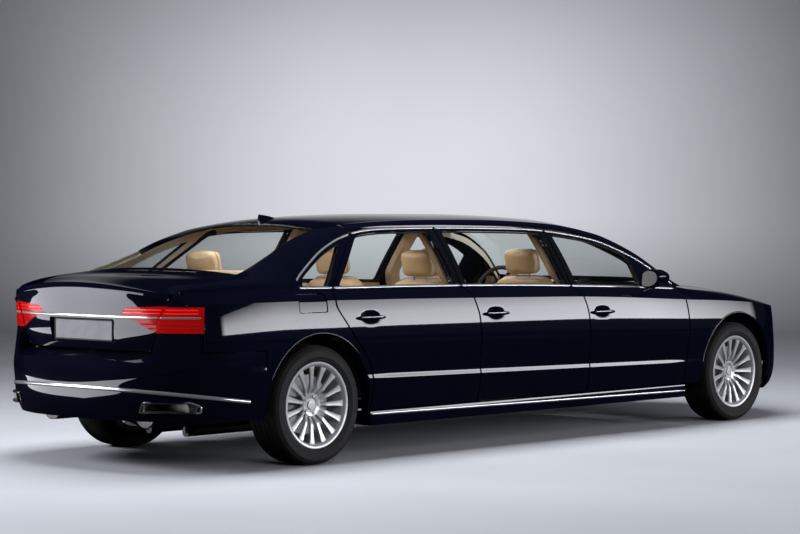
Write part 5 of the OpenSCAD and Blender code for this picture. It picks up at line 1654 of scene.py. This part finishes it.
fit(plate("shelf_cover", cover, cover + inward, 40), BEIGE_TRIM, "body", "shelf_trim")

# inner door panels with arm rests
for w, door in enumerate(DOORS):
    for tag, s in SIDES:
        z, u = np.meshgrid(np.linspace(330, 1010, 40), np.linspace(0.05, 0.95, 50), indexing="ij")
        back, fore = (np.interp(z, SPLIT[:, 0], SPLIT[:, k]) for k in (w + 1, w + 2))
        x = mix(back + 34, fore + 4, u)
        z = np.minimum(z, belt(x) - 8)
        y = lining(x, z)
        arm = 34 * np.exp(-((z - 690) / 46) ** 4) * np.clip(np.minimum(u - 0.12, 0.9 - u) / 0.06, 0, 1)
        panel = np.stack([x, y - 1, z], -1)
        swell = np.array([0, -1, 0.0]) * (6 + arm)[..., None]
        hinge = hinge_at(w + 2)[0]
        face = panel + swell
        ob = plate(f"{door}_inner_panel_{tag}", face, panel, 40)
        room = [crate((hinge - 22, 600, hz - 36), (hinge + 120, 1000, hz + 36)) for hz in HINGE_Z]
        ob = carve(ob, room, angle=40)
        fit(mirrored(ob, s), BEIGE, f"{door}_door_{tag}", "seat_leather")
        xs = np.linspace(x[20, 4], x[20, -5], 30)
        path = np.stack([xs, lining(xs, 905 + 0 * xs) - 8, 905 + 0 * xs], 1)
        inlay = strip(f"{door}_inner_inlay_{tag}", path, [(0, -1, 0)] * len(xs), 46, 3)
        fit(mirrored(inlay, s), WALNUT, f"{door}_door_{tag}", "console_trim")

# steering wheel
grip = [(185 + 15 * math.cos(b), 15 * math.sin(b)) for b in around(16)]
rim = tube("rim", [[(r * math.cos(a), r * math.sin(a), z) for r, z in grip] for a in around(72)], 60, True)
boss = lathe("boss", [(0, -20), (58, -20), (64, 0), (56, 20), (30, 26), (0, 27)], 48)
boss.data.transform(Matrix.Rotation(math.pi / 2, 4, "X"))
arms = []
for a in (90, 210, 330):
    arm = tube("arm", [[(r, -h, -8), (r, h, -8), (r, h * 0.8, 8), (r, -h * 0.8, 8)]
                       for r, h in ((40, 17), (110, 12), (180, 14))])
    arm.data.transform(Matrix.Rotation(math.radians(a), 4, "Z"))
    arms.append(paint_on(arm, GLOSS_BLACK))
column = prism(disc(0, 0, 16, 24), "z", -200, -16)
wheel = join("steering_wheel_trim", [paint_on(o, DARK_TRIM) for o in (rim, boss, column)] + arms)
moved(wheel, Matrix.Translation((1.075, 0.4, 0.935)) @ Matrix.Rotation(math.radians(-65), 4, "Y"))
fit(wheel, None, "steering_wheel", "dark_trim", "steering_wheel")


# carried-over solids
KEPT = {"floor_pan": UNDERBODY, "boot_floor": CARPET, "wheelhouses": UNDERBODY, "front_subframe": CASTING,
        "rear_axle": CASTING, "engine": CASTING, "exhaust": EXHAUST, "knuckle_l": CASTING,
        "knuckle_r": CASTING, "parcel_shelf": BEIGE_TRIM, "cowl": DARK_TRIM}
for node, mat in KEPT.items():
    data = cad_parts[node].data
    data.materials.clear()
    data.materials.append(mat)

# floor, light and camera
YAW, PITCH = 0.7575793, -0.0208384


def studio_finish():
    """Pale floor that turns into a backdrop lit from the middle, and is dark to everything but the camera."""
    mat = bpy.data.materials.new("studio_floor")
    mat.use_nodes = True
    nt = mat.node_tree
    p = nt.nodes["Principled BSDF"]
    p.inputs["Roughness"].default_value = 0.5
    p.inputs["Specular IOR Level"].default_value = 0.0
    noise = texture(mat, "noise", 0.6)
    seen = ramp(mat, noise.outputs["Fac"], [(0.3, (0.66, 0.69, 0.75)), (0.7, (0.72, 0.75, 0.81))],
                "Base Color")
    path = nt.nodes.new("ShaderNodeLightPath")
    pick = nt.nodes.new("ShaderNodeMix")
    pick.data_type = "RGBA"
    pick.inputs[6].default_value = (0.012, 0.013, 0.016, 1)
    nt.links.new(path.outputs["Is Camera Ray"], pick.inputs[0])
    nt.links.new(seen.outputs["Color"], pick.inputs[7])
    nt.links.new(pick.outputs[2], p.inputs["Base Color"])
    where, turn = nt.nodes.new("ShaderNodeTexCoord"), nt.nodes.new("ShaderNodeMapping")
    parts = nt.nodes.new("ShaderNodeSeparateXYZ")
    turn.inputs["Rotation"].default_value = (0, 0, -YAW)
    nt.links.new(where.outputs["Object"], turn.inputs["Vector"])
    nt.links.new(turn.outputs["Vector"], parts.inputs["Vector"])

    def share(socket, lo, hi):
        node = nt.nodes.new("ShaderNodeMapRange")
        node.inputs["From Min"].default_value, node.inputs["From Max"].default_value = lo, hi
        node.interpolation_type = "SMOOTHSTEP"
        nt.links.new(socket, node.inputs["Value"])
        return node.outputs["Result"]

    def times(u, v):
        node = nt.nodes.new("ShaderNodeMath")
        node.operation = "MULTIPLY"
        for k, w in enumerate((u, v)):
            if isinstance(w, (int, float)):
                node.inputs[k].default_value = w
            else:
                nt.links.new(w, node.inputs[k])
        return node.outputs["Value"]

    across = parts.outputs["Y"]
    wide = times(share(across, 7.5, 0.5), share(across, -7.5, -0.5))
    tall = times(share(parts.outputs["Z"], -0.6, 1.6), share(parts.outputs["Z"], 7.5, 2.2))
    rise = share(parts.outputs["X"], 2.0, 16.0)
    glow = times(times(times(wide, tall), rise), 0.62)
    p.inputs["Emission Color"].default_value = (0.93, 0.95, 1.0, 1)
    nt.links.new(glow, p.inputs["Emission Strength"])
    return mat


def stage_sheet(name, section, far):
    """Floor that turns up into the backdrop behind the car, as seen from the camera."""
    way = np.array([math.cos(YAW), math.sin(YAW)])
    over = np.array([-way[1], way[0]])
    verts = [tuple(way * d + over * o) + (h,) for d, h in section for o in np.linspace(-far, far, 9)]
    me = bpy.data.meshes.new(name)
    me.from_pydata(verts, [], grid_faces(len(section), 9))
    me.shade_smooth()
    return link(name, me)


bend = [(14 + 4 * math.sin(a), 4 - 4 * math.cos(a)) for a in np.linspace(0, math.pi / 2, 12)]
backdrop = stage_sheet("studio_floor", [(-30, 0.0), (0, 0.0)] + bend + [(18, 14.0)], 30)
backdrop.data.materials.append(studio_finish())


def lamp(name, at, aim, size, power, colour=(1, 1, 1)):
    data = bpy.data.lights.new(name, "AREA")
    data.shape, data.size, data.size_y, data.energy, data.color = "RECTANGLE", size[0], size[1], power, colour
    ob = bpy.data.objects.new(name, data)
    bpy.context.scene.collection.objects.link(ob)
    ob.location = at
    ob.rotation_euler = (Vector(aim) - Vector(at)).to_track_quat("-Z", "Y").to_euler()
    return ob


def softened(ob):
    """Panel that fades towards its two ends and its upper edge."""
    ob.data.use_nodes = True
    nt = ob.data.node_tree
    spot = nt.nodes.new("ShaderNodeSeparateXYZ")
    nt.links.new(nt.nodes.new("ShaderNodeNewGeometry").outputs["Parametric"], spot.inputs[0])
    parts = []
    ends = [(0.0, 0.0), (0.1, 0.9), (0.9, 0.9), (1.0, 0.0)]
    upright = [(0.0, 1.0), (0.4, 0.85), (1.0, 0.15)]
    for axis, marks in (("X", ends), ("Y", upright)):
        fade = nt.nodes.new("ShaderNodeValToRGB")
        while len(fade.color_ramp.elements) < len(marks):
            fade.color_ramp.elements.new(0.5)
        for stop, (at, level) in zip(fade.color_ramp.elements, marks):
            stop.position, stop.color = at, (level, level, level, 1)
        nt.links.new(spot.outputs[axis], fade.inputs[0])
        parts.append(fade.outputs[0])
    both = nt.nodes.new("ShaderNodeMath")
    both.operation = "MULTIPLY"
    nt.links.new(parts[0], both.inputs[0])
    nt.links.new(parts[1], both.inputs[1])
    nt.links.new(both.outputs[0], nt.nodes["Emission"].inputs["Strength"])
    return ob


lamp("overhead", (-0.3, 0, 5.6), (-0.3, 0.001, 0), (8, 3.0), 380).visible_glossy = False
softened(lamp("near_band", (5.3, -14.94, 2.85), (-4.6, -5.29, 0.9), (22.5, 3.1), 2500, (0.93, 0.93, 1)))
lamp("near_fill", (-7.5, -9.5, 4.6), (-0.5, 0, 0.7), (5, 2.5), 190).visible_glossy = False
lamp("tail_side", (-7.6, 4.3, 4.0), (-3.0, 0, 0.8), (4.5, 1.8), 320, (0.94, 0.95, 1))
lamp("tail_floor", (-8.6, 3.6, 0.03), (-8.6, 3.601, 3), (9.0, 5.4), 800, (0.92, 0.93, 1))
lamp("cabin_front", (0.5, 0, 1.33), (0.5, 0.001, 0), (1.6, 0.7), 7, (1, 0.96, 0.9))
lamp("cabin_rear", (-1.3, 0, 1.33), (-1.3, 0.001, 0), (1.2, 0.7), 7, (1, 0.96, 0.9))

world = bpy.data.worlds.new("studio")
bpy.context.scene.world = world
world.use_nodes = True
world.node_tree.nodes["Background"].inputs["Color"].default_value = (0.50, 0.55, 0.64, 1)
world.node_tree.nodes["Background"].inputs["Strength"].default_value = 0.03

# camera fitted to the photograph, in mm and in metres
SENSOR, FOCAL = 36, 104.966
CAMERA_AT = (-11.702124, -10.735489, 1.459599)
cam_data = bpy.data.cameras.new("photo_view")
cam_data.sensor_width, cam_data.lens, cam_data.clip_end = SENSOR, FOCAL, 200
cam = bpy.data.objects.new("photo_view", cam_data)
bpy.context.scene.collection.objects.link(cam)
cam.location = CAMERA_AT
aim = Vector((math.cos(PITCH) * math.cos(YAW), math.cos(PITCH) * math.sin(YAW), math.sin(PITCH)))
cam.rotation_euler = aim.to_track_quat("-Z", "Y").to_euler()
bpy.context.scene.camera = cam
bpy.context.scene.view_settings.view_transform = "Standard"
